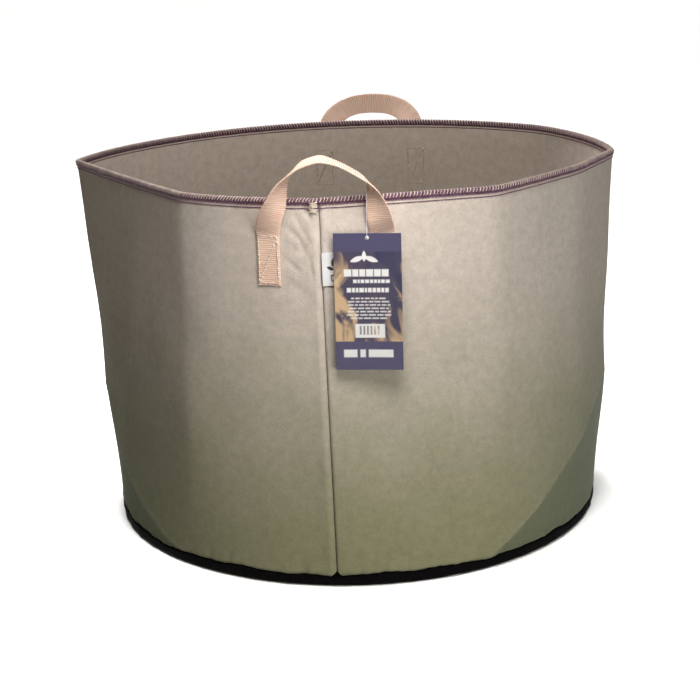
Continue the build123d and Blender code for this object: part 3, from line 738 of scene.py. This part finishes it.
def place_at_x(x, height, side):
    """The place along the wall that is at an x, on the front or the back."""
    places = np.linspace(-0.2, 0.2, 801) if side < 0 else WALL_LENGTH / 2 + np.linspace(-0.25, 0.25, 1001)
    across = on_wall(places, height)[:, 0]
    order = np.argsort(across)
    return np.interp(x, across[order], places[order])


def unit(rows):
    return rows / np.linalg.norm(rows, axis=-1)[..., None]


def rounded_run(points, spread, step):
    """A line of points made even and smooth: its corners are rounded over a distance."""
    lengths = np.append(0, np.cumsum(np.linalg.norm(np.diff(points[:, :3], axis=0), axis=1)))
    even = np.arange(0, lengths[-1], step)
    rows = np.stack([np.interp(even, lengths, column) for column in points.T], -1)
    reach = int(3 * spread / step)
    weights = np.exp(-0.5 * (np.arange(-reach, reach + 1) * step / spread) ** 2)
    weights /= weights.sum()
    ends = [2 * rows[:1] - rows[reach:0:-1], rows, 2 * rows[-1:] - rows[-2:-reach - 2:-1]]
    padded = np.concatenate(ends)
    return np.stack([np.convolve(column, weights, "valid") for column in padded.T], -1)


# The strap's section, across its width and through its thickness, with rounded selvedges.
section_across = np.array([-1.0, -0.965, -0.87, -0.6, -0.3, 0.0, 0.3, 0.6, 0.87, 0.965])
section_through = np.array([0.0, 0.75, 1.0, 1.0, 1.0, 1.0, 1.0, 1.0, 1.0, 0.75])
section = np.stack([np.append(section_across, [1.0, *section_across[:0:-1]]),
                    np.append(section_through, [0.0, *-section_through[:0:-1]])], -1)
sewn_ends = {}
for name, (side, loop_rise, route) in HANDLES.items():
    boxes = {end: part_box(f"{name}_handle_{end}_end") for end in ("left", "right")}
    middles = {end: (low + high) / 2 for end, (low, high) in boxes.items()}
    half_spacing = (middles["right"].x - middles["left"].x) / 2
    centres, widths = [], []
    for end, sign in (("left", 1), ("right", -1)):
        at = place_at_x(middles[end].x, STITCH_ROW, side)
        heights = STITCH_ROW - np.linspace(SEWN_LENGTH, 0, 12)
        run = on_wall(at, heights, SEWN_GAP + WEBBING_THICKNESS / 2)
        flat_across = unit(on_wall(at + 0.006, heights) - on_wall(at - 0.006, heights)) * -side
        sewn_ends[name, end] = (run, flat_across, at, heights)
        order = slice(None) if sign > 0 else slice(None, None, -1)
        centres.append(run[order])
        widths.append((flat_across * sign)[order])
    anchor = (centres[0][-1] + centres[1][0]) / 2
    loop = np.array([anchor + (a * half_spacing, side * o * loop_rise, u * loop_rise)
                     for a, o, u, _, _ in route])
    loop_width = np.array([(cos(radians(t)) * cos(radians(p)), -side * sin(radians(t)) * cos(radians(p)),
                            sin(radians(p))) for _, _, _, t, p in route])
    line = np.concatenate([np.concatenate([centres[0], loop, centres[1]]),
                           np.concatenate([widths[0], loop_width, widths[1]])], axis=1)
    line = rounded_run(line, LOOP_BEND, RIB / 5)
    centre = line[:, :3]
    along = unit(np.gradient(centre, axis=0))
    width = line[:, 3:] - along * (line[:, 3:] * along).sum(1)[:, None]
    width = unit(width)
    through = np.cross(width, along)
    travelled = np.append(0, np.cumsum(np.linalg.norm(np.diff(centre, axis=0), axis=1)))
    draw = np.random.default_rng(31 if side < 0 else 32)
    rib_count = int(travelled[-1] / RIB) + 2
    rib_size = 1 + draw.normal(0, 0.10, rib_count)[np.clip((travelled / RIB).astype(int), 0, rib_count - 1)]
    wave = np.cos(2 * pi * travelled / RIB)
    half_width = WEBBING / 2 + 0.00022 * wave
    half_through = WEBBING_THICKNESS / 2 + 0.00017 * wave * rib_size
    rings = (centre[:, None] + width[:, None] * section[None, :, :1] * half_width[:, None, None]
             + through[:, None] * section[None, :, 1:] * half_through[:, None, None])
    rings = np.concatenate([rings, rings[:, :1]], axis=1)
    girth = np.append(section[:, 0], section[0, 0]) * WEBBING / 2
    strap_place = np.stack(np.broadcast_arrays(girth[None, :], travelled[:, None]), -1)
    ring_spots = len(section) + 1
    first_cap = list(range(len(section)))
    last_cap = [(len(rings) - 1) * ring_spots + k for k in reversed(first_cap)]
    strap = piece(f"{name}_handle_webbing", rings,
                  grid_faces(len(rings), ring_spots).tolist() + [first_cap, last_cap], webbing_weave,
                  strap_place)
    tidy_mesh(strap)
    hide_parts(f"{name}_handle_loop", f"{name}_handle_left_end", f"{name}_handle_right_end")
    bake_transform(strap)

# ---- box stitches ----
# Cream lockstitch in a box with one diagonal holds each sewn end. On the webbing the stitches stand up
# as short lumps, and inside the bag they lie on the felt with their ends pulled into it.
STITCH_INSET, BOX_STITCH = 0.0022, 0.0040
OUTER_THREAD, INNER_THREAD = 0.00072, 0.00085  # the threads' radii
for (name, end), (run, flat_across, at, heights) in sewn_ends.items():
    side = HANDLES[name][0]
    half = WEBBING / 2 - STITCH_INSET
    low, high = STITCH_INSET - SEWN_LENGTH, -STITCH_INSET
    corners = np.array([(-half, low), (half, low), (half, high), (-half, high)])
    draw = np.random.default_rng(60 + len(name) + len(end))
    stitches = []
    for from_corner, to_corner in ((0, 1), (1, 2), (2, 3), (3, 0), (0, 2)):
        start, finish = corners[from_corner], corners[to_corner]
        length = np.linalg.norm(finish - start)
        count = round(length / BOX_STITCH)
        heading = (finish - start) / length
        for k in range(count):
            centre = start + heading * (k + 0.5) * length / count + draw.normal(0, 0.00022, 2)
            tilt = draw.normal(0, 0.10)
            turned = np.array([heading[0] * cos(tilt) - heading[1] * sin(tilt),
                               heading[0] * sin(tilt) + heading[1] * cos(tilt)])
            reach = 0.5 * length / count
            steps = np.array([-0.86, -0.5, 0.5, 0.86]) * reach
            stitches.append(centre + turned * steps[:, None])
    stitches = np.array(stitches)
    level = STITCH_ROW + stitches[..., 1]
    middle = np.stack([np.interp(level, heights, run[:, k]) for k in range(3)], -1)
    sideways = np.stack([np.interp(level, heights, flat_across[:, k]) for k in range(3)], -1)
    out_of = unit(np.cross(sideways, np.array([0.0, 0.0, 1.0])))
    surface = middle + sideways * stitches[..., :1]
    lift = WEBBING_THICKNESS / 2 + np.array([-0.0002, 0.00035, 0.00035, -0.0002])
    over = surface + out_of * lift[:, None]
    inner_lift = -FELT + np.array([0.0001, -0.0006, -0.0006, 0.0001])
    under = on_wall(at - side * stitches[..., 0], level, inner_lift)
    size = OUTER_THREAD * (1 + draw.normal(0, 0.12, len(over)))[:, None]
    made = piece(f"{name}_{end}_box_stitch_thread",
                 *joined(threads(over, size), threads(under, INNER_THREAD)), cream_thread)
    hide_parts(f"{name}_{end}_box_stitch")
    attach(made, "bag")

# ---- side label ----
# A small white satin label of woven polyester, caught by one edge in the front seam. Its free edge
# springs a little off the wall. It carries a plain leaf over a pot in dark thread.
label_low, label_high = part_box("side_label")
LABEL, LABEL_THICKNESS, LABEL_START, LABEL_SPOTS = 0.032, 0.0007, 0.0006, 81
label_foot = (label_low.z + label_high.z) / 2 - LABEL / 2
label_step = np.linspace(0, 1, LABEL_SPOTS)
label_across, label_up = label_step[None, :], label_step[:, None]
label_lift = 0.0009 + 0.0012 * label_across**2 + 0.0002 * np.sin(7 * label_up + 3 * label_across)
label_base = np.minimum(label_lift, 0.0003 + 0.06 * label_across)
label_points = [on_wall(LABEL_START + LABEL * label_across, label_foot + LABEL * label_up, label_base + more)
                for more in (LABEL_THICKNESS, 0.0)]


SOFT_EDGE, POT_LINE = 0.0006, 0.0006  # how soft a printed edge is, and half the width of the pot's line


def leaf(x, y, middle_x, middle_y, length, width, turn):
    """A pointed leaf shape: 1 inside it and 0 outside, with a soft edge, from two circles' overlap."""
    u = (x - middle_x) * cos(turn) + (y - middle_y) * sin(turn)
    v = -(x - middle_x) * sin(turn) + (y - middle_y) * cos(turn)
    radius = (length**2 + width**2) / (4 * width)
    offset = radius - width / 2
    gap = np.maximum(np.hypot(u, v - offset), np.hypot(u, v + offset)) - radius
    return smooth_step(0.5 - gap / SOFT_EDGE)


POT_X, POT_FOOT, POT_TOP, STEM_TOP = 0.0135, 0.0045, 0.0105, 0.0200
label_x, label_y = label_across * LABEL + 0 * label_up, label_up * LABEL + 0 * label_across
dark_print = np.zeros_like(label_x)
for middle_x, middle_y, length, width, turn in (
    (0.0130, 0.0235, 0.0110, 0.0062, 1.15), (0.0085, 0.0170, 0.0080, 0.0034, 2.75),
    (0.0200, 0.0185, 0.0100, 0.0042, 0.35),
):
    dark_print = np.maximum(dark_print, leaf(label_x, label_y, middle_x, middle_y, length, width, turn))
from_stem = np.abs(label_x - POT_X)
stem = smooth_step(0.5 - (from_stem - 0.0005) / SOFT_EDGE) * ((label_y > POT_TOP) & (label_y < STEM_TOP))
pot_side = np.abs(from_stem - (0.0040 + 0.10 * (label_y - POT_FOOT)))
pot = smooth_step(0.5 - (pot_side - POT_LINE) / SOFT_EDGE) * ((label_y > POT_FOOT) & (label_y < POT_TOP))
from_pot_end = np.minimum(np.abs(label_y - POT_FOOT - 0.0003), np.abs(label_y - POT_TOP + 0.0003))
pot_ends = smooth_step(0.5 - (from_pot_end - POT_LINE) / SOFT_EDGE)
pot = np.maximum(pot, pot_ends * (from_stem < 0.0046))
dark_print = np.maximum.reduce([dark_print, stem, pot])

# Woven satin: white yarns 0.15 mm wide, drawn as a 0.7 mm weave so that it shows, with a soft shine.
satin, tree, shader = material("woven_polyester_satin_label", Sheen_Weight=0.1, Roughness=0.45)
cloth = add(tree, "ShaderNodeUVMap", uv_map="cloth").outputs[0]
weave = add(tree, "ShaderNodeTexWave", {"Vector": cloth, "Scale": 1 / 0.0016, "Distortion": 1.0,
                                        "Detail Scale": 2.0}, bands_direction="DIAGONAL").outputs[1]
inked = add(tree, "ShaderNodeAttribute", attribute_name="dark_print").outputs["Fac"]
pale = add(tree, "ShaderNodeMix", {0: weave, 6: linear("E9EAF0"), 7: linear("F7F7FA")}, data_type="RGBA")
tone = add(tree, "ShaderNodeMix", {0: inked, 6: pale.outputs[2], 7: linear("20262B")}, data_type="RGBA")
raised = add(tree, "ShaderNodeBump", {"Height": weave, "Distance": 0.0002, "Strength": 0.4})
dress(tree, shader, Base_Color=tone.outputs[2], Normal=raised.outputs[0])
label_uv = np.stack([label_x, label_y], -1)
label = piece("woven_side_label", np.concatenate([p.reshape(-1, 3) for p in label_points]),
              shell_faces(LABEL_SPOTS, LABEL_SPOTS), satin, np.concatenate([label_uv.reshape(-1, 2)] * 2),
              {"dark_print": np.concatenate([dark_print.ravel(), 0 * dark_print.ravel()])})
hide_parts("side_label")
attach(label, "side_label")

# ---- hang tag ----
# A printed and laminated card, 68 by 140 mm and half a millimetre thick, with a punched hole for its
# pin. It hangs bottom edge forwards. The print is leaves, blocks and plain bars over a marbled ground.
CARD_WIDTH, CARD_HEIGHT, CARD_THICKNESS = 0.068, 0.140, 0.0005
CARD_HOLE, CARD_HOLE_DROP, CARD_LEAN = 0.0022, 0.0046, radians(2.5)
CARD_ROWS, CARD_COLUMNS = 281, 137
card_low, card_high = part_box("hang_tag")
hole_x = (card_low.x + card_high.x) / 2
hole_z = card_high.z - CARD_HOLE_DROP * cos(CARD_LEAN) - CARD_THICKNESS / 2 * sin(CARD_LEAN)
hole_y = card_high.y - CARD_HOLE_DROP * sin(CARD_LEAN) - CARD_THICKNESS / 2 * cos(CARD_LEAN)
card_x = np.linspace(-CARD_WIDTH / 2, CARD_WIDTH / 2, CARD_COLUMNS)
card_z = np.linspace(CARD_HOLE_DROP - CARD_HEIGHT, CARD_HOLE_DROP, CARD_ROWS)
grid_x, grid_z = (g.copy() for g in np.meshgrid(card_x, card_z))
from_hole = np.hypot(grid_x, grid_z)
near_hole = (from_hole > CARD_HOLE * 0.75) & (from_hole < CARD_HOLE + 0.00036)
grid_x[near_hole] *= CARD_HOLE / from_hole[near_hole]
grid_z[near_hole] *= CARD_HOLE / from_hole[near_hole]
bow = 0.0010 * (np.cos(pi * grid_x / CARD_WIDTH) - 1) * smooth_step((CARD_HOLE_DROP - 0.02 - grid_z) / 0.08)
card_faces = grid_faces(CARD_ROWS, CARD_COLUMNS)
middle_gap = np.hypot(grid_x.ravel()[card_faces].mean(1), grid_z.ravel()[card_faces].mean(1))
kept = card_faces[middle_gap > CARD_HOLE]
directed = np.stack([kept, np.roll(kept, -1, 1)], -1).reshape(-1, 2)
forwards, backwards = directed @ (grid_x.size, 1), directed @ (1, grid_x.size)
rim_edges = directed[~np.isin(forwards, backwards)]
layer_size = grid_x.size


def on_card(x, z, forward):
    """Points on the card's plane, which leans forward from its hole."""
    y = -forward
    return np.stack([hole_x + x, hole_y + y * cos(CARD_LEAN) + z * sin(CARD_LEAN),
                     hole_z + z * cos(CARD_LEAN) - y * sin(CARD_LEAN)], -1)


card_points = np.concatenate([on_card(grid_x, grid_z, -bow + CARD_THICKNESS / 2).reshape(-1, 3),
                              on_card(grid_x, grid_z, -bow - CARD_THICKNESS / 2).reshape(-1, 3)])
card_faces = kept.tolist() + (kept[:, ::-1] + layer_size).tolist()
card_faces += np.stack([rim_edges[:, 1], rim_edges[:, 0], rim_edges[:, 0] + layer_size,
                        rim_edges[:, 1] + layer_size], 1).tolist()

# The print: distances are from the card's top left corner.
ink_x, ink_y = grid_x + CARD_WIDTH / 2, CARD_HOLE_DROP - grid_z


def bar(left, right, top, bottom, soft=0.0005):
    gap = np.maximum(np.maximum(left - ink_x, ink_x - right), np.maximum(top - ink_y, ink_y - bottom))
    return smooth_step(0.5 - gap / soft)


white_print = np.zeros_like(ink_x)
for middle_x, middle_y, length, width, turn in (
    (0.0235, 0.0262, 0.0150, 0.0052, -0.35), (0.0375, 0.0262, 0.0150, 0.0052, 0.35),
    (0.0305, 0.0232, 0.0110, 0.0042, 1.57),
):
    white_print = np.maximum(white_print, leaf(ink_x, ink_y, middle_x, middle_y, length, width, turn))
draw = np.random.default_rng(77)
for left, right, top, bottom, blocks in (
    (0.0098, 0.0560, 0.0365, 0.0438, 6), (0.0190, 0.0560, 0.0470, 0.0505, 9),
    (0.0125, 0.0560, 0.0555, 0.0600, 10),
):
    shifted = np.arange(blocks + 1) + np.append(0, draw.uniform(-0.2, 0.2, blocks))
    block_edges = left + (right - left) * shifted / blocks
    for block_left, block_right in zip(block_edges[:-1], block_edges[1:]):
        white_print = np.maximum(white_print, bar(block_left, block_right - 0.0009, top, bottom, 0.0009))
for line in range(7):
    top = 0.0655 + 0.0034 * line
    margin = draw.uniform(0.0, 0.006)
    edge = 0.0120 + margin
    while edge < 0.0560 - margin:
        word = min(draw.uniform(0.0025, 0.0075), 0.0570 - margin - edge)
        white_print = np.maximum(white_print, 0.85 * bar(edge, edge + word, top, top + 0.0014, 0.0008))
        edge += word + 0.0013
white_print = np.maximum(white_print, bar(0.0200, 0.0500, 0.0925, 0.1068))
for k in range(6):
    white_print *= 1 - 0.75 * bar(0.0245 + 0.0036 * k, 0.0264 + 0.0036 * k, 0.0945, 0.1035)
for left, right in ((0.0080, 0.0215), (0.0245, 0.0300), (0.0330, 0.0580)):
    white_print = np.maximum(white_print, bar(left, right, 0.1190, 0.1270))
marbled = bar(-0.01, 0.08, 0.0186, 0.1105)

# Printed card: solid violet and navy ink under a thin gloss laminate. The marbling is pale tan ink.
printed, tree, shader = material("offset_printed_laminated_card", Coat_Weight=0.25, Coat_Roughness=0.22)
cloth = add(tree, "ShaderNodeUVMap", uv_map="cloth").outputs[0]
smear = add(tree, "ShaderNodeMapping", {"Vector": cloth, "Rotation": (0, 0, radians(74)),
                                        "Scale": (0.046, 0.024, 1.0), "Location": (0.31, 0.12, 0)},
            vector_type="TEXTURE").outputs[0]
swirl = add(tree, "ShaderNodeTexNoise", {"Vector": smear, "Scale": 1.0, "Detail": 3.0, "Roughness": 0.5,
                                         "Distortion": 1.2}).outputs[0]
across_card, down_card = add(tree, "ShaderNodeSeparateXYZ", {0: cloth}).outputs[:2]
lower = add(tree, "ShaderNodeMath", {0: down_card, 1: 1.3, 2: swirl}, operation="MULTIPLY_ADD").outputs[0]
from_middle = add(tree, "ShaderNodeMath", {0: across_card, 1: CARD_WIDTH / 2}, operation="SUBTRACT")
sideways = add(tree, "ShaderNodeMath", {0: from_middle.outputs[0]}, operation="ABSOLUTE").outputs[0]
more_tan = add(tree, "ShaderNodeMath", {0: sideways, 1: 6.5, 2: lower}, operation="MULTIPLY_ADD").outputs[0]
marble = add(tree, "ShaderNodeMapRange", {0: more_tan, 1: 0.710, 2: 0.850}).outputs[0]
streak = add(tree, "ShaderNodeMapRange", {0: swirl, 1: 0.30, 2: 0.62}).outputs[0]
navy = add(tree, "ShaderNodeMix", {0: streak, 6: linear("1B1E45"), 7: linear("4A3E50")}, data_type="RGBA")
tan_ink = add(tree, "ShaderNodeMix", {0: marble, 6: navy.outputs[2], 7: linear("D3B590")}, data_type="RGBA")
in_marbled = add(tree, "ShaderNodeAttribute", attribute_name="marbled").outputs["Fac"]
ground = add(tree, "ShaderNodeMix", {0: in_marbled, 6: linear("423D60"), 7: tan_ink.outputs[2]},
             data_type="RGBA")
whites = add(tree, "ShaderNodeAttribute", attribute_name="white_print").outputs["Fac"]
tone = add(tree, "ShaderNodeMix", {0: whites, 6: ground.outputs[2], 7: linear("F4F4F6")}, data_type="RGBA")
film = add(tree, "ShaderNodeTexNoise", {"Vector": cloth, "Scale": 1 / 0.012, "Detail": 2.0}).outputs[0]
rough = add(tree, "ShaderNodeMapRange", {0: film, 3: 0.36, 4: 0.52}).outputs[0]
raised = add(tree, "ShaderNodeBump", {"Height": film, "Distance": 0.0003, "Strength": 0.25})
dress(tree, shader, Base_Color=tone.outputs[2], Roughness=rough, Normal=raised.outputs[0])
card_place = np.stack([ink_x, ink_y], -1).reshape(-1, 2)
back = np.zeros(layer_size)
card = piece("printed_hang_tag", card_points, card_faces, printed, np.concatenate([card_place] * 2),
             {"white_print": np.concatenate([white_print.ravel(), back]),
              "marbled": np.concatenate([marbled.ravel(), back])})
work = bmesh.new()
work.from_mesh(card.data)
bmesh.ops.delete(work, geom=[v for v in work.verts if not v.link_faces], context="VERTS")
bmesh.ops.recalc_face_normals(work, faces=work.faces)
work.to_mesh(card.data)
work.free()
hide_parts("hang_tag")
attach(card, "hang_tag")

# ---- tag pin ----
# One moulded nylon tag pin: a bar behind the webbing, a filament down to the card, and a paddle behind
# the hole, with the thick root of the paddle showing in it.
pin_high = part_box("tag_pin")[1]
FILAMENT, PIN_DROP, BAR, BAR_HALF = 0.0004, 0.0468, 0.0006, 0.0035  # radius, drop, radius, half its length
loop_z = hole_z + PIN_DROP
bar_x = pin_high.x - BAR
pin_y = pin_high.y - BAR
pin_stops = [(bar_x, pin_y, loop_z), (hole_x, pin_y, loop_z), (hole_x, hole_y - 0.0024, hole_z),
             (hole_x, hole_y + 0.0014, hole_z)]
PIN_BEND, PIN_STEP = 0.0006, 0.0004
pin_route = rounded_run(np.array(pin_stops), PIN_BEND, PIN_STEP)
pin_parts = [threads(pin_route[None], FILAMENT, sides=10, away=(0.2, 1.0, 0.1))]
bar_points = np.array([(bar_x, pin_y, loop_z + z) for z in np.linspace(-BAR_HALF, BAR_HALF, 9)])
bar_size = BAR * np.sin(np.linspace(0.35, pi - 0.35, len(bar_points))) ** 0.4
pin_parts.append(threads(bar_points[None], bar_size, sides=10, away=(1, 0, 0)))
root_profile = ((-0.0013, 0.0004), (-0.0012, 0.0013), (-0.0006, 0.0018), (0.0002, 0.0018), (0.0010, 0.0014),
                (0.0016, 0.0008))  # how far behind the hole's middle, and the radius there
root_points = np.array([(hole_x, hole_y + depth, hole_z) for depth, _ in root_profile])
root_size = np.array([size for _, size in root_profile])
pin_parts.append(threads(root_points[None], root_size, sides=20, away=(0, 0, 1)))
paddle = bmesh.new()
bmesh.ops.create_cube(paddle, size=1.0)
bmesh.ops.scale(paddle, vec=(0.0050, 0.0008, 0.0012), verts=paddle.verts)
bmesh.ops.bevel(paddle, geom=paddle.edges[:], offset=0.00025, segments=3, affect="EDGES")
bmesh.ops.translate(paddle, vec=(hole_x, hole_y + 0.0018, hole_z), verts=paddle.verts)
paddle.verts.ensure_lookup_table()
pin_parts.append((np.array([v.co for v in paddle.verts]),
                  [[v.index for v in f.verts] for f in paddle.faces]))
paddle.free()

# Moulded nylon: milky and translucent, with a smooth moulded skin.
nylon, tree, shader = material("moulded_natural_nylon", IOR=1.53, Transmission_Weight=0.35)
spot = add(tree, "ShaderNodeNewGeometry").outputs["Position"]
cloud = add(tree, "ShaderNodeTexNoise", {"Vector": spot, "Scale": 1 / 0.006}).outputs[0]
tone = add(tree, "ShaderNodeMix", {0: cloud, 6: linear("E6E6EE"), 7: linear("F8F8FC")}, data_type="RGBA")
rough = add(tree, "ShaderNodeMapRange", {0: cloud, 3: 0.22, 4: 0.34}).outputs[0]
dress(tree, shader, Base_Color=tone.outputs[2], Roughness=rough)
pin = piece("nylon_tag_pin", *joined(*pin_parts), nylon)
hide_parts("tag_pin")
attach(pin, "tag_pin")

# ---- studio ----
# A small soft lamp close above the front of the bag, a wide one at the right front, a faint one at the
# left and a strong one behind it, in a dim surround. A sun keeps the floor white and lights nothing else.
FLOOR_REACH = 40
floor_corners = [(x * FLOOR_REACH, y * FLOOR_REACH, 0) for x, y in ((-1, -1), (1, -1), (1, 1), (-1, 1))]
floor_mesh = bpy.data.meshes.new("floor")
floor_mesh.from_pydata(floor_corners, [], [(0, 1, 2, 3)])
floor = bpy.data.objects.new("floor", floor_mesh)
floor.location.z = -0.0005
bpy.context.scene.collection.objects.link(floor)
paper, tree, shader = material("matt_white_paper_sweep", Roughness=0.9)
spot = add(tree, "ShaderNodeNewGeometry").outputs["Position"]
mottle = add(tree, "ShaderNodeTexNoise", {"Vector": spot, "Scale": 3.0}).outputs[0]
tone = add(tree, "ShaderNodeMix", {0: mottle, 6: linear("F1F1F1"), 7: linear("F6F6F6")}, data_type="RGBA")
dress(tree, shader, Base_Color=tone.outputs[2])
floor_mesh.materials.append(paper)
floor.visible_diffuse = False
floor_only = bpy.data.collections.new("floor_only")
floor_only.objects.link(floor)


def lamp(name, place, aim, power, size, colour="FFFFFF", spread=180):
    data = bpy.data.lights.new(name, "AREA")
    data.spread = radians(spread)
    data.energy, data.shape, data.size = power, "DISK", size
    data.color = linear(colour)[:3]
    made = bpy.data.objects.new(name, data)
    made.location = place
    made.rotation_euler = (Vector(aim) - Vector(place)).to_track_quat("-Z", "Y").to_euler()
    bpy.context.scene.collection.objects.link(made)
    return made


lamp("key", (0.09, -0.56, 0.74), (0.00, -0.25, 0.36), 0.80, 0.26, "FFFAF4", spread=100)
lamp("front_fill", (0.95, -1.35, 0.40), (0.10, -0.20, 0.20), 7.6, 0.6, "FFFCF4")
lamp("left_fill", (-1.20, -0.80, 0.60), (-0.10, -0.20, 0.20), 0.6, 0.6, "FFE9C4")
lamp("back_fill", (-0.35, 0.95, 1.50), (0.00, 0.00, 0.20), 27.0, 0.8, "FFF6F0")
sun_data = bpy.data.lights.new("floor_light", "SUN")
sun_data.energy, sun_data.angle = 3.45, radians(30)
sun = bpy.data.objects.new("floor_light", sun_data)
bpy.context.scene.collection.objects.link(sun)
sun.light_linking.receiver_collection = floor_only

world = bpy.data.worlds.new("studio")
bpy.context.scene.world = world
world.use_nodes = True
tree = world.node_tree
tree.nodes.clear()
seen = add(tree, "ShaderNodeLightPath").outputs["Is Camera Ray"]
dim = add(tree, "ShaderNodeBackground", {"Color": linear("E3E0CF"), "Strength": 0.09}).outputs[0]
white = add(tree, "ShaderNodeBackground", {"Color": (1, 1, 1, 1), "Strength": 1.0}).outputs[0]
surround = add(tree, "ShaderNodeMixShader", {0: seen, 1: dim, 2: white}).outputs[0]
add(tree, "ShaderNodeOutputWorld", {0: surround})
bpy.context.scene.view_settings.view_transform = "Standard"
